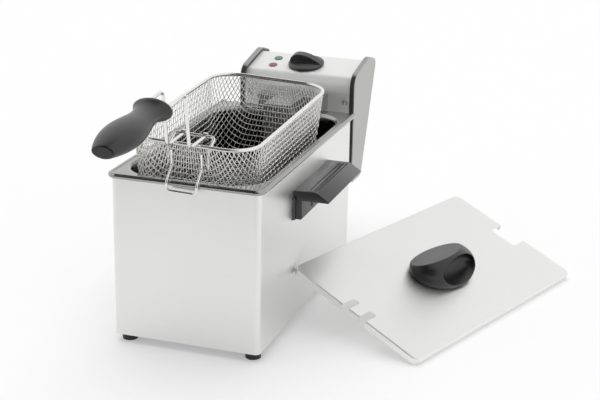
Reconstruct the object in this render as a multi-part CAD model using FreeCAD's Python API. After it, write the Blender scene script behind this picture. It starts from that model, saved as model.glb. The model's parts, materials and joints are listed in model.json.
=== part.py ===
import FreeCAD, Part
import math
import os

# Counter-top deep fryer: steel housing with an oil tank, a control head with its heater hooked over
# the rear rim, a wire basket hung on the front rim to drain and a lid leaning on the right side.
# Millimetres, +X right, +Y back, +Z up. The origin is on the floor under the housing's centre.

V = FreeCAD.Vector
X_AXIS = V(1, 0, 0)
Y_AXIS = V(0, 1, 0)
Z_AXIS = V(0, 0, 1)
TINY = 1e-6

# Clearances
REST_GAP = 0.3        # between faces that rest on each other but come apart
SLIP_GAP = 0.1        # between a fastener and its hole
RUN_GAP = 0.06        # radial, between a turning or sliding pin and its bore

# Housing
HOUSING_W = 180.0
HOUSING_D = 344.0
HOUSING_TOP = 200.4
HOUSING_CORNER = 7.0
SHEET = 1.0
FOOT_H = 10.0
FOOT_R = 10.0
FOOT_BOTTOM_R = 9.0
FOOT_INSET_X = 13.0
FOOT_INSET_Y = 16.0
TRAY_T = 1.5
TRAY_LIP = 12.0
SCREW_R = 2.0
SCREW_HEAD_R = 4.0
SCREW_HEAD_H = 2.4
FOOT_RECESS = 5.0
FOOT_SCREW_L = 11.0

# Side handles
HANDLE_L = 132.0
HANDLE_Y = 8.0        # middle of the handle along the housing
HANDLE_TOP = 172.0
HANDLE_REACH = 46.0   # wall to outer tip
HANDLE_FLAT = 28.0    # wall to the start of the slanted face
HANDLE_ARM = 11.5     # height of the arm
HANDLE_LEG = 35.0     # height of the leg on the wall
HANDLE_LEG_T = 10.0
HANDLE_BEND_R = 7.0
FLARE_L = 6.0         # wall plate beyond each end of the leg
FLARE_T = 3.0
FLARE_EDGE = 0.6       # what the chamfer leaves of the wall plate's ends
FLARE_DROP = 8.0      # wall plate below the handle's top
GROOVE_W = 1.2
GROOVE_DEPTH = 0.9
GROOVE_PITCH = 4.6
GROOVE_COUNT = 3
GROOVE_LAST = 27.0    # wall to the outermost groove
GROOVE_END = 8.0
STUD_H = 7.0          # small rib under the arm
STUD_T = 2.4
STUD_X = 19.0
HANDLE_SCREW_Y = 46.0
HANDLE_SCREW_DROP = 24.0
HANDLE_SCREW_L = 9.0

# Oil tank
RIM_BEAD_R = 3.2
RIM_OVERHANG = 4.8    # bead outside the housing wall
RIM_CORNER = 9.0
RIM_BACK = 4.0        # rim beyond the housing's rear wall
FLANGE_DROP = 1.1     # flange below the top of the bead
LEDGE_SIDE = 8.0      # housing wall to the tank's opening
LEDGE_FRONT = 9.8
LEDGE_BACK = 15.0
OPENING_CORNER = 39.0
TANK_DEPTH = 159.0
TANK_FLOOR_R = 18.0
THROAT_R = 5.0        # rounded edge from the flange into the tank

# Control head
HEAD_INSET = 9.0      # housing side to the head's side
HEAD_GAP = 40.5       # housing rear wall to the head's front
HEAD_BOTTOM = 98.5
HEAD_CREST = 244.4    # sloping top met by the front, before rounding
HEAD_SLOPE = 11.2
HEAD_LEAN = 22.0      # back wall from upright
HEAD_FOOT = 43.0      # depth of the head at the bottom
HEAD_RIDGE = 70.5     # front of the head to the ridge of its top
RIDGE_FALL = 16.6     # top behind the ridge
KNEE_R = 18.0
RIDGE_R = 25.0
CROWN_R = 9.0
HEEL_R = 9.0
TOE_R = 4.0
COVER_T = 1.2
END_W = 6.5           # end frame and cover together
FRAME_BORDER = 9.0
PANEL_INSET = 5.0     # top and back panels below the cheeks
PANEL_RECESS = 1.0    # front panel behind the end frames
PANEL_KNEE_R = 22.0
PANEL_TOE_R = 2.0
PANEL_BACK_END = 75.0   # front of the head to the end of the top panel
PANEL_FLANGE_Z = 205.0  # below this the panel is only the front wall
PANEL_SCREW_IN = 5.5    # panel screw from the end frame
PANEL_SCREW_Z = 209.5
PANEL_SCREW_R = 1.5
PANEL_SCREW_HEAD_R = 4.0
PANEL_SCREW_HEAD_H = 2.4
PANEL_SCREW_L = 8.0
LUG_W = 12.0
LUG_T = 9.0
LUG_H = 14.0

# Channel that keeps the head off the housing
STANDOFF_W = 80.0
STANDOFF_Z = 120.0
STANDOFF_H = 60.0
STANDOFF_T = 2.0
RIVET_R = 2.0
RIVET_HEAD_R = 3.5
RIVET_HEAD_H = 1.2
RIVET_IN_X = 12.0
RIVET_IN_Z = 12.0

# Dial, thermostat and lamps, placed on the sloping top panel
DIAL_BACK = 40.2      # front of the head to the dial's axis
DIAL_R = 24.4
DIAL_LIFT = 0.5
DIAL_EDGE = 2.6       # upright edge of the skirt
DIAL_CONE = 2.6       # rise of the cone on the skirt
DIAL_CONE_R = 13.0    # top of the cone
DIAL_FIN_H = 15.6
DIAL_FIN_T = 12.0
DIAL_FIN_IN = 0.7     # fin's ends inside the skirt
DIAL_RECESS_R = 11.0
DIAL_RECESS = 4.0
SHAFT_R = 3.0
SHAFT_TOP = 12.0
SHAFT_BELOW = 12.0
BUSH_R = 5.0
BUSH_TOP = 2.5
NUT_R = 8.0
NUT_H = 2.0
THERMOSTAT_W = 36.0
THERMOSTAT_D = 34.0
THERMOSTAT_H = 24.0
LAMP_R = 5.8
LAMP_H = 0.9
LAMP_EDGE_R = 0.6
LAMP_STEM_R = 4.8
LAMP_STEM_L = 20.0
LAMP_X = -43.8
LAMP_GREEN_Y = 11.0
LAMP_RED_Y = -12.0

# Parts on the leaning back and the floor of the head
CUTOUT_X = -30.0
CUTOUT_Z = 168.0
CUTOUT_SIDE = 32.0
CUTOUT_DEPTH = 22.0
COLLAR_R = 6.0
COLLAR_H = 3.0
BUTTON_R = 3.5
BUTTON_OUT = 6.5
BUTTON_IN = 8.0
BUTTON_TRAVEL = 3.0
GLAND_X = 36.0
GLAND_Z = 128.0
GLAND_R = 9.0
GLAND_NUT_R = 12.0
GLAND_NUT_H = 5.0
GLAND_DOME_H = 14.0
GLAND_TIP_R = 6.5
TERMINAL_W = 48.0
TERMINAL_D = 18.0
TERMINAL_H = 16.0
TERMINAL_BACK = 12.0
TERMINAL_POLES = 3
TERMINAL_HOLE_R = 2.5

# Heater, its carrier and the sensor
CARRIER_W = 37.0
CARRIER_T = 1.2
CARRIER_TOP = 219.0
CARRIER_IN = 23.0     # carrier inside the tank's opening
CARRIER_FOOT = 95.0
CARRIER_CLEAR = 4.0   # carrier to the tank's rear wall
CARRIER_BOX_W = 88.0
CARRIER_BOX_D = 29.0
CARRIER_BOX_H = 20.0
TUBE_R = 4.0
TUBE_BEND = 16.0
TUBE_Z = 213.0        # heater ends above the floor
TUBE_HALF = 9.0       # heater ends from the middle
TUBE_BACK = 17.0      # heater ends behind the front panel
TUBE_WALL = 14.0      # heater legs from the tank's rear wall
LOOP_RISE = 25.0      # heater loops above the tank's floor
LOOP_INNER = 18.0
LOOP_OUTER = 54.0
LOOP_FRONT = 51.0     # loops from the tank's front wall
LOOP_BACK = 33.0      # legs to the loops' rear run
LOOP_INSET = 40.0      # rear run to the middle turn
ELEMENT_NUT_R = 7.0
ELEMENT_NUT_H = 5.0
BULB_R = 3.0
BULB_L = 100.0
BULB_BACK = 30.0      # bulb's rear end in front of the middle turn
CAPILLARY_R = 1.0
CAPILLARY_RISE = 12.0
CAPILLARY_BEND = 5.0
CLIP_T = 1.2
CLIP_L = 8.0
CLIP_SPREAD = 60.0

# Basket, drawn level about the middle of its rim wire and then hung on the front rim
BASKET_SIDE_GAP = 7.0   # tank's opening to the basket's rim wire
BASKET_END_GAP = 7.1    # basket's rim wire to the tank's front and to the carrier
BASKET_DEPTH = 108.0
BASKET_CORNER = 34.0
BASKET_DRAFT = 5.0
BASKET_FLOOR_R = 14.0
RIM_WIRE_R = 2.2
MESH_T = 1.6
MESH_RIB = 2.4          # mesh left between two windows of the grid
MESH_TOP = 8.0          # rim wire to the first row of windows
MESH_BITE = 5.0         # blocks beyond the mesh
MESH_ROWS = 3
MESH_COLUMNS = 8        # along a side wall
MESH_CORNERS = 2        # round a corner
BASKET_TILT = 2.0       # rear higher
BASKET_ROLL = 2.2       # right side lower
HOOK_WIRE_R = 1.5
HOOK_HALF = 18.0
HOOK_REACH = 9.0        # rim wire to the tank's bead
HOOK_DROP = 43.5        # rim wire above the tank's bead
HOOK_SLACK = 1.0
HOOK_TOP = 8.0
HOOK_LEAVE = 26.0
HOOK_BAR = 51.5
HOOK_BEND = 5.0
WELD_GAP = 0.05
HANDLE_WIRE_R = 2.0
PIVOT_BACK = 22.0       # rim wire to the pivot bar
PIVOT_UP = 4.6
PIVOT_HALF = 24.0
BRACKET_TOP = 6.0
BRACKET_FOOT = 26.0
BRACKET_BEND = 5.0
EYE_R = 4.4
EYE_L = 5.0
HANDLE_HALF = 13.0
HANDLE_OUT = 24.5       # rim wire to the foot of the upright wires
HANDLE_PEAK_OUT = 38.5  # rim wire to the bend above them
HANDLE_BEND = 9.0
GRIP_START = 85.0       # rim wire to the grip
GRIP_L = 124.0
GRIP_HALF_W = 22.2      # half of the widest part
GRIP_FLAT = 0.58        # thickness as a share of the width
GRIP_UP = 67.3          # axis at the wire end
GRIP_FALL = 10.2        # far end below the wire end
WIRE_IN_GRIP = 20.0

# Lid, drawn level about the middle of its top and then leaned on the housing
LID_OVER_W = 14.0       # lid wider than the housing
LID_OVER_D = 16.0
LID_CORNER = 10.0
LID_T = 1.0
LID_FLANGE = 8.0
LID_EDGE_R = 1.5
SLOT_W = 10.5
SLOT_DEPTH = 22.5
NOTCH_W = 38.0
NOTCH_DEPTH = 26.5
NOTCH_R = 3.0
LID_TURN = -19.7
LID_LEAN = 20.7
LID_FRONT = 116.0       # lid's front floor corner before the housing's middle
LID_TOUCH = 0.4
KNOB_LEN = 100.2
KNOB_W = 68.8
KNOB_H = 39.5
KNOB_MID = 11.1         # widest height of the knob
KNOB_X = 4.0
KNOB_Y = -5.0
KNOB_TURN = -7.2
POCKET_W = 68.0
POCKET_H = 32.0
POCKET_UP = 21.0
POCKET_OUT = 20.0       # middle of the knob to the pocket's straight part
POCKET_DOME = 18.0      # depth of the rounded part behind it
POCKET_TURN = 2.8
FACET_OUT = 16.7        # middle of the knob to the slanted face
FACET_TILT = 35.5
FACET_TURN = 188.2
KNOB_SCREW_HALF = 24.0
KNOB_SCREW_L = 12.0

# Places that follow from the sizes above
DRILL_REACH = 4 * SHEET
HALF_W = HOUSING_W / 2
HALF_D = HOUSING_D / 2
BEAD_Z = HOUSING_TOP + REST_GAP + RIM_BEAD_R
BEAD_X = HALF_W + RIM_OVERHANG - RIM_BEAD_R
BEAD_FRONT = -(HALF_D + RIM_OVERHANG - RIM_BEAD_R)
RIM_REAR = HALF_D + RIM_BACK
FLANGE_TOP = BEAD_Z + RIM_BEAD_R - FLANGE_DROP
OPENING_W = HOUSING_W - 2 * LEDGE_SIDE
OPENING_FRONT = -(HALF_D - LEDGE_FRONT)
OPENING_BACK = HALF_D - LEDGE_BACK
OPENING_L = OPENING_BACK - OPENING_FRONT
OPENING_MID = (OPENING_BACK + OPENING_FRONT) / 2
TANK_FLOOR = FLANGE_TOP - TANK_DEPTH
HEAD_FRONT = HALF_D + HEAD_GAP
HEAD_HALF = HALF_W - HEAD_INSET
PANEL_HALF = HEAD_HALF - END_W
PANEL_FRONT = HEAD_FRONT + PANEL_RECESS
SLOPE = math.tan(math.radians(HEAD_SLOPE))
LEAN = math.tan(math.radians(HEAD_LEAN))
BASKET_W = OPENING_W - 2 * BASKET_SIDE_GAP
BASKET_L = OPENING_L - CARRIER_IN - 2 * BASKET_END_GAP
BASKET_FRONT = -BASKET_L / 2
DRAFT = math.tan(math.radians(BASKET_DRAFT))
LID_W = HOUSING_W + LID_OVER_W
LID_D = HOUSING_D + LID_OVER_D


def box(x0, x1, y0, y1, z0, z1):
    """A block between two corners."""
    return Part.makeBox(x1 - x0, y1 - y0, z1 - z0, V(x0, y0, z0))


def cylinder(base, axis, radius, length):
    """A round bar from its base centre."""
    return Part.makeCylinder(radius, length, base, axis)


def drill(place, axis, radius):
    """A short bar through a sheet, centred on a point of its face."""
    return cylinder(place - axis * DRILL_REACH, axis, radius, 2 * DRILL_REACH)


def rounded_wire(points, radii, closed):
    """A path of straight runs joined by tangent arcs."""
    count = len(points)
    corners = []
    for i, point in enumerate(points):
        loose = not closed and i in (0, count - 1)
        if loose or radii[i] == 0:
            corners.append((point, None, point))
            continue
        back = (points[i - 1] - point).normalize()
        ahead = (points[(i + 1) % count] - point).normalize()
        half = back.getAngle(ahead) / 2
        reach = radii[i] / math.tan(half)
        middle = (back + ahead).normalize() * (radii[i] / math.sin(half) - radii[i])
        corners.append((point + back * reach, point + middle, point + ahead * reach))
    edges = []
    for i, (start, middle, end) in enumerate(corners):
        if middle is not None:
            edges.append(Part.Arc(start, middle, end).toShape())
        if closed or i < count - 1:
            following = corners[(i + 1) % count][0]
            if (following - end).Length > TINY:
                edges.append(Part.makeLine(end, following))
    return Part.Wire(edges)


def tube(points, bends, radius, closed=False):
    """A round wire or pipe along a path; bends is one radius or one for each point."""
    radii = bends if isinstance(bends, list) else [bends] * len(points)
    path = rounded_wire(points, radii, closed)
    first = path.OrderedEdges[0]
    start = first.valueAt(first.FirstParameter)
    heading = first.tangentAt(first.FirstParameter)
    ring = Part.Wire(Part.makeCircle(radius, start, heading))
    return path.makePipeShell([ring], True, False)


def rectangle(width, depth, corner, z, mid_y=0.0):
    """A level rectangle with rounded corners."""
    w = width / 2
    d = depth / 2
    points = [V(-w, mid_y - d, z), V(w, mid_y - d, z), V(w, mid_y + d, z), V(-w, mid_y + d, z)]
    return rounded_wire(points, [corner] * 4, True)


def slab(width, depth, corner, z0, z1, mid_y=0.0):
    """A block with rounded upright edges."""
    return Part.Face(rectangle(width, depth, corner, z0, mid_y)).extrude(V(0, 0, z1 - z0))


def level_edges(shape, z):
    """The edges of a shape that lie at one height."""
    low = z - TINY
    high = z + TINY
    return [e for e in shape.Edges if e.BoundBox.ZMin > low and e.BoundBox.ZMax < high]


def moved(shape, placement):
    """A copy of a shape, put in place."""
    return shape.transformed(placement.toMatrix(), True)


def mirrored(shape):
    """The left-hand copy of a right-hand piece."""
    return shape.mirror(V(0, 0, 0), X_AXIS)


def screw(base, axis, radius, length, head_r, head_h):
    """A screw whose head stands before the base point and whose shank follows it."""
    head = cylinder(base - axis * head_h, axis, head_r, head_h)
    slot_w = head_r / 3
    across = axis.cross(X_AXIS if abs(axis.x) < 0.5 else Y_AXIS).normalize()
    slot = cylinder(base - axis * head_h - across * head_r, across, slot_w / 2, 2 * head_r)
    return head.fuse(cylinder(base, axis, radius, length)).cut(slot)


def export(name, shapes):
    """Write one node; several shapes are kept as separate solids."""
    solids = []
    for shape in shapes:
        solids.extend(shape.removeSplitter().Solids)
    result = solids[0] if len(solids) == 1 else Part.makeCompound(solids)
    result.exportStep("parts/" + name + ".step")


def foot_places():
    """The four places of the feet."""
    x = HALF_W - FOOT_INSET_X
    y = HALF_D - FOOT_INSET_Y
    return [V(-x, -y, 0), V(x, -y, 0), V(x, y, 0), V(-x, y, 0)]


def handle_screw_places():
    """Where the right handle's screws pass the wall."""
    z = HANDLE_TOP - HANDLE_SCREW_DROP
    return [V(HALF_W, HANDLE_Y - HANDLE_SCREW_Y, z), V(HALF_W, HANDLE_Y + HANDLE_SCREW_Y, z)]


def rivet_places():
    """Where the standoff is riveted to the rear wall."""
    x = STANDOFF_W / 2 - RIVET_IN_X
    low = STANDOFF_Z + RIVET_IN_Z
    high = STANDOFF_Z + STANDOFF_H - RIVET_IN_Z
    return [V(side * x, HALF_D, z) for side in (-1, 1) for z in (low, high)]


def make_housing():
    """Wrap, tray, feet and their screws."""
    wrap = slab(HOUSING_W, HOUSING_D, HOUSING_CORNER, FOOT_H, HOUSING_TOP)
    inside = slab(HOUSING_W - 2 * SHEET, HOUSING_D - 2 * SHEET, HOUSING_CORNER - SHEET,
                  0, HOUSING_TOP + SHEET)
    wrap = wrap.cut(inside)
    hole_r = SCREW_R + SLIP_GAP
    for place in handle_screw_places():
        hole = drill(place, X_AXIS, hole_r)
        wrap = wrap.cut(hole).cut(mirrored(hole))
    for place in rivet_places():
        wrap = wrap.cut(drill(place, Y_AXIS, RIVET_R))
    export("housing_wrap", [wrap])

    tray_w = HOUSING_W - 2 * SHEET - 2 * SLIP_GAP
    tray_d = HOUSING_D - 2 * SHEET - 2 * SLIP_GAP
    corner = HOUSING_CORNER - SHEET - SLIP_GAP
    tray = slab(tray_w, tray_d, corner, FOOT_H, FOOT_H + TRAY_LIP)
    hollow = slab(tray_w - 2 * TRAY_T, tray_d - 2 * TRAY_T, corner - TRAY_T,
                  FOOT_H + TRAY_T, HOUSING_TOP)
    tray = tray.cut(hollow)
    feet = []
    screws = []
    for place in foot_places():
        tray = tray.cut(cylinder(place, Z_AXIS, hole_r, FOOT_H + TRAY_LIP))
        foot = Part.makeCone(FOOT_BOTTOM_R, FOOT_R, FOOT_H, place)
        foot = foot.cut(cylinder(place, Z_AXIS, SCREW_HEAD_R + 2 * SLIP_GAP, FOOT_RECESS))
        feet.append(foot.cut(cylinder(place, Z_AXIS, hole_r, FOOT_H)))
        seat = place + Z_AXIS * FOOT_RECESS
        screws.append(screw(seat, Z_AXIS, SCREW_R, FOOT_SCREW_L, SCREW_HEAD_R, SCREW_HEAD_H))
    export("base_plate", [tray])
    export("feet", feet)
    export("foot_screws", screws)


def make_side_handles():
    """Moulded lifting handles and their screws from inside the wrap."""
    y0 = HANDLE_Y - HANDLE_L / 2
    arm_z = HANDLE_TOP - HANDLE_ARM
    foot_z = HANDLE_TOP - HANDLE_LEG
    tip = HALF_W + HANDLE_REACH
    leg = HALF_W + HANDLE_LEG_T
    section = [
        V(HALF_W, y0, foot_z),
        V(HALF_W, y0, HANDLE_TOP),
        V(HALF_W + HANDLE_FLAT, y0, HANDLE_TOP),
        V(tip, y0, arm_z),
        V(leg, y0, arm_z),
        V(leg, y0, foot_z),
    ]
    radii = [0, 0, HANDLE_BEND_R, GROOVE_W, GROOVE_W, GROOVE_W]
    handle = Part.Face(rounded_wire(section, radii, True)).extrude(V(0, HANDLE_L, 0))
    plate = box(HALF_W, HALF_W + FLARE_T, y0 - FLARE_L, y0 + HANDLE_L + FLARE_L,
                foot_z, HANDLE_TOP - FLARE_DROP)
    plate = plate.makeChamfer(FLARE_T - FLARE_EDGE, [e for e in plate.Edges if is_flare_edge(e)])
    handle = handle.fuse(plate)
    stud = box(HALF_W + STUD_X, HALF_W + STUD_X + STUD_T, y0 + FLARE_L, y0 + HANDLE_L - FLARE_L,
               arm_z - STUD_H, arm_z)
    handle = handle.fuse(stud)
    for i in range(GROOVE_COUNT):
        x = HALF_W + GROOVE_LAST - i * GROOVE_PITCH
        groove = box(x - GROOVE_W / 2, x + GROOVE_W / 2, y0 + GROOVE_END, y0 + HANDLE_L - GROOVE_END,
                     HANDLE_TOP - GROOVE_DEPTH, HANDLE_TOP + GROOVE_DEPTH)
        handle = handle.cut(groove)
    screws = []
    for place in handle_screw_places():
        handle = handle.cut(cylinder(place, X_AXIS, SCREW_R, HANDLE_SCREW_L))
        seat = place - X_AXIS * SHEET
        screws.append(screw(seat, X_AXIS, SCREW_R, HANDLE_SCREW_L, SCREW_HEAD_R, SCREW_HEAD_H))
    export("side_handle_right", [handle])
    export("side_handle_left", [mirrored(handle)])
    export("handle_screws", screws + [mirrored(s) for s in screws])


def is_flare_edge(edge):
    """True for the upright outer edges at the ends of a handle's wall plate."""
    bound = edge.BoundBox
    return bound.XMin > HALF_W + TINY and bound.YLength < TINY and bound.ZLength > TINY


def make_standoff():
    """Channel on the rear wall that the head's front leans on, with its rivets."""
    back = HEAD_FRONT + PANEL_RECESS - REST_GAP
    half = STANDOFF_W / 2
    top = STANDOFF_Z + STANDOFF_H
    channel = box(-half, half, HALF_D, back, STANDOFF_Z, top)
    inner = half - STANDOFF_T
    channel = channel.cut(box(-inner, inner, HALF_D + STANDOFF_T, back, STANDOFF_Z, top))
    rivets = []
    for place in rivet_places():
        shank = cylinder(place - Y_AXIS * SHEET, Y_AXIS, RIVET_R, SHEET + STANDOFF_T)
        channel = channel.cut(shank)
        head = cylinder(place + Y_AXIS * STANDOFF_T, Y_AXIS, RIVET_HEAD_R, RIVET_HEAD_H)
        tail = cylinder(place - Y_AXIS * (SHEET + RIVET_HEAD_H), Y_AXIS, RIVET_HEAD_R, RIVET_HEAD_H)
        rivets.append(shank.fuse(head).fuse(tail))
    export("head_standoff", [channel])
    export("standoff_rivets", rivets)


def is_round_opening(edge, out):
    """True for an edge along the tank's opening, at most so far outside it."""
    middle = edge.CenterOfMass
    along = OPENING_FRONT - out < middle.y < OPENING_BACK + out
    return along and abs(middle.x) < OPENING_W / 2 + out


def make_tank():
    """Drawn tank: tub, rounded throat, flange and rolled rim on three sides."""
    corner = OPENING_CORNER
    tub = slab(OPENING_W + 2 * SHEET, OPENING_L + 2 * SHEET, corner + SHEET,
               TANK_FLOOR - SHEET, FLANGE_TOP, OPENING_MID)
    tub = tub.makeFillet(TANK_FLOOR_R + SHEET, level_edges(tub, TANK_FLOOR - SHEET))
    rim = [V(BEAD_X, RIM_REAR, BEAD_Z), V(BEAD_X, BEAD_FRONT, BEAD_Z),
           V(-BEAD_X, BEAD_FRONT, BEAD_Z), V(-BEAD_X, RIM_REAR, BEAD_Z)]
    low = FLANGE_TOP - SHEET
    flange_points = [V(p.x, p.y, low) for p in rim]
    flange = Part.Face(rounded_wire(flange_points, [0, RIM_CORNER, RIM_CORNER, 0], True))
    tub = tub.fuse(flange.extrude(V(0, 0, SHEET))).removeSplitter()
    throat = [e for e in level_edges(tub, low) if is_round_opening(e, 2 * SHEET)]
    tub = tub.makeFillet(THROAT_R - SHEET, throat)
    hollow = slab(OPENING_W, OPENING_L, corner, TANK_FLOOR, FLANGE_TOP + SHEET, OPENING_MID)
    hollow = hollow.makeFillet(TANK_FLOOR_R, level_edges(hollow, TANK_FLOOR))
    tub = tub.cut(hollow)
    mouth = [e for e in level_edges(tub, FLANGE_TOP) if is_round_opening(e, TINY)]
    tub = tub.makeFillet(THROAT_R, mouth)
    bead = tube(rim, RIM_CORNER, RIM_BEAD_R)
    export("oil_tank", [tub.fuse(bead)])


def head_corners(front, inset):
    """Corners of the head's side outline, moved in from its front and from its other edges."""
    slope = math.radians(HEAD_SLOPE)
    fall = math.radians(RIDGE_FALL)
    lean = math.radians(HEAD_LEAN)
    ridge = (HEAD_FRONT + HEAD_RIDGE, HEAD_CREST + SLOPE * HEAD_RIDGE)
    # Outward normal, a point on the edge and how far the edge moves in
    edges = [
        (-1, 0, HEAD_FRONT, HEAD_BOTTOM, front),
        (-math.sin(slope), math.cos(slope), ridge[0], ridge[1], inset),
        (math.sin(fall), math.cos(fall), ridge[0], ridge[1], inset),
        (math.cos(lean), -math.sin(lean), HEAD_FRONT + HEAD_FOOT, HEAD_BOTTOM, inset),
        (0, -1, HEAD_FRONT, HEAD_BOTTOM, inset),
    ]
    corners = []
    for i, (ny, nz, y, z, move) in enumerate(edges):
        my, mz, v, w, shift = edges[i - 1]
        reach = ny * y + nz * z - move
        before = my * v + mz * w - shift
        area = ny * mz - nz * my
        corners.append(((reach * mz - before * nz) / area, (ny * before - my * reach) / area))
    return corners


def head_block(front, inset, x0, x1, radii):
    """A slice of the head's side outline; radii run toe, knee, ridge, crown, heel."""
    points = [V(x0, y, z) for y, z in head_corners(front, inset)]
    return Part.Face(rounded_wire(points, radii, True)).extrude(V(x1 - x0, 0, 0))


def back_y(z):
    """The outside of the cheek's leaning back edge at one height."""
    return HEAD_FRONT + HEAD_FOOT + LEAN * (z - HEAD_BOTTOM)


def top_frame():
    """Placement of the dial: on the top panel, with Z out of it."""
    y = HEAD_FRONT + DIAL_BACK
    z = HEAD_CREST + SLOPE * DIAL_BACK - PANEL_INSET * math.hypot(1, SLOPE)
    return FreeCAD.Placement(V(0, y, z), FreeCAD.Rotation(X_AXIS, HEAD_SLOPE))


def back_frame(x, z):
    """Placement on the leaning back wall, with Z out of it."""
    y = back_y(z) - PANEL_INSET * math.hypot(1, LEAN)
    return FreeCAD.Placement(V(x, y, z), FreeCAD.Rotation(X_AXIS, -90 - HEAD_LEAN))


def panel_radii(inset):
    """Corner radii of the panels, one step further in for the inside of the sheet."""
    sharp = [r - PANEL_INSET - inset for r in (RIDGE_R, CROWN_R, HEEL_R)]
    return [PANEL_TOE_R, PANEL_KNEE_R - inset] + sharp


def make_head_case():
    """Bent panels, end frames, cheeks and panel screws."""
    shell = head_block(PANEL_RECESS, PANEL_INSET, -PANEL_HALF, PANEL_HALF, panel_radii(0))
    shell = shell.cut(head_block(PANEL_RECESS + SHEET, PANEL_INSET + SHEET, -PANEL_HALF, PANEL_HALF,
                                 panel_radii(SHEET)))
    high = HEAD_CREST + HOUSING_TOP
    front_zone = box(-HALF_W, HALF_W, HALF_D, PANEL_FRONT + SHEET, 0, high)
    top_zone = box(-HALF_W, HALF_W, HALF_D, HEAD_FRONT + PANEL_BACK_END, PANEL_FLANGE_Z, high)
    panel = shell.common(front_zone.fuse(top_zone))
    cover = shell.cut(panel)

    place = top_frame()
    for x, y, radius in ((0, 0, BUSH_R + SLIP_GAP), (LAMP_X, LAMP_GREEN_Y, LAMP_STEM_R + SLIP_GAP),
                         (LAMP_X, LAMP_RED_Y, LAMP_STEM_R + SLIP_GAP)):
        panel = panel.cut(moved(drill(V(x, y, 0), Z_AXIS, radius), place))
    for x, radius in ((-TUBE_HALF, TUBE_R), (TUBE_HALF, TUBE_R), (0, CAPILLARY_R)):
        panel = panel.cut(drill(V(x, PANEL_FRONT, TUBE_Z), Y_AXIS, radius + SLIP_GAP))
    screw_x = PANEL_HALF - PANEL_SCREW_IN
    screws = []
    for x in (-screw_x, screw_x):
        seat = V(x, PANEL_FRONT, PANEL_SCREW_Z)
        panel = panel.cut(drill(seat, Y_AXIS, PANEL_SCREW_R + SLIP_GAP))
        screws.append(screw(seat, Y_AXIS, PANEL_SCREW_R, PANEL_SCREW_L,
                            PANEL_SCREW_HEAD_R, PANEL_SCREW_HEAD_H))
    export("head_panel", [panel])
    export("panel_screws", screws)

    holes = ((back_frame(CUTOUT_X, CUTOUT_Z), COLLAR_R), (back_frame(GLAND_X, GLAND_Z), GLAND_R))
    for place, radius in holes:
        cover = cover.cut(moved(drill(V(0, 0, 0), Z_AXIS, radius), place))
    export("head_back_cover", [cover])

    inner_x = HEAD_HALF - COVER_T
    frame_radii = [TOE_R, KNEE_R] + [r - COVER_T for r in (RIDGE_R, CROWN_R, HEEL_R)]
    frame = head_block(0, COVER_T, PANEL_HALF, inner_x, frame_radii)
    window_radii = [TOE_R, KNEE_R - FRAME_BORDER, RIDGE_R - FRAME_BORDER, TOE_R, TOE_R]
    frame = frame.cut(head_block(FRAME_BORDER, FRAME_BORDER + COVER_T, PANEL_HALF, inner_x, window_radii))
    lug = box(PANEL_HALF - LUG_W, PANEL_HALF, PANEL_FRONT + SHEET, PANEL_FRONT + SHEET + LUG_T,
              PANEL_SCREW_Z - LUG_H / 2, PANEL_SCREW_Z + LUG_H / 2)
    lug = lug.cut(cylinder(V(screw_x, PANEL_FRONT, PANEL_SCREW_Z), Y_AXIS, PANEL_SCREW_R, PANEL_SCREW_L))
    frame = frame.fuse(lug)
    cheek_radii = [TOE_R, KNEE_R, RIDGE_R, CROWN_R, HEEL_R]
    plate = head_block(0, 0, inner_x, HEAD_HALF, cheek_radii)
    lip = head_block(0, 0, PANEL_HALF, inner_x, cheek_radii)
    lip = lip.cut(head_block(0, COVER_T, PANEL_HALF, inner_x, frame_radii))
    lip = lip.cut(box(PANEL_HALF, HEAD_HALF, HALF_D, HEAD_FRONT + KNEE_R / 2, 0, high))
    cheek = plate.fuse(lip)
    export("end_frame_right", [frame])
    export("end_frame_left", [mirrored(frame)])
    export("side_cover_right", [cheek])
    export("side_cover_left", [mirrored(cheek)])


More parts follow.
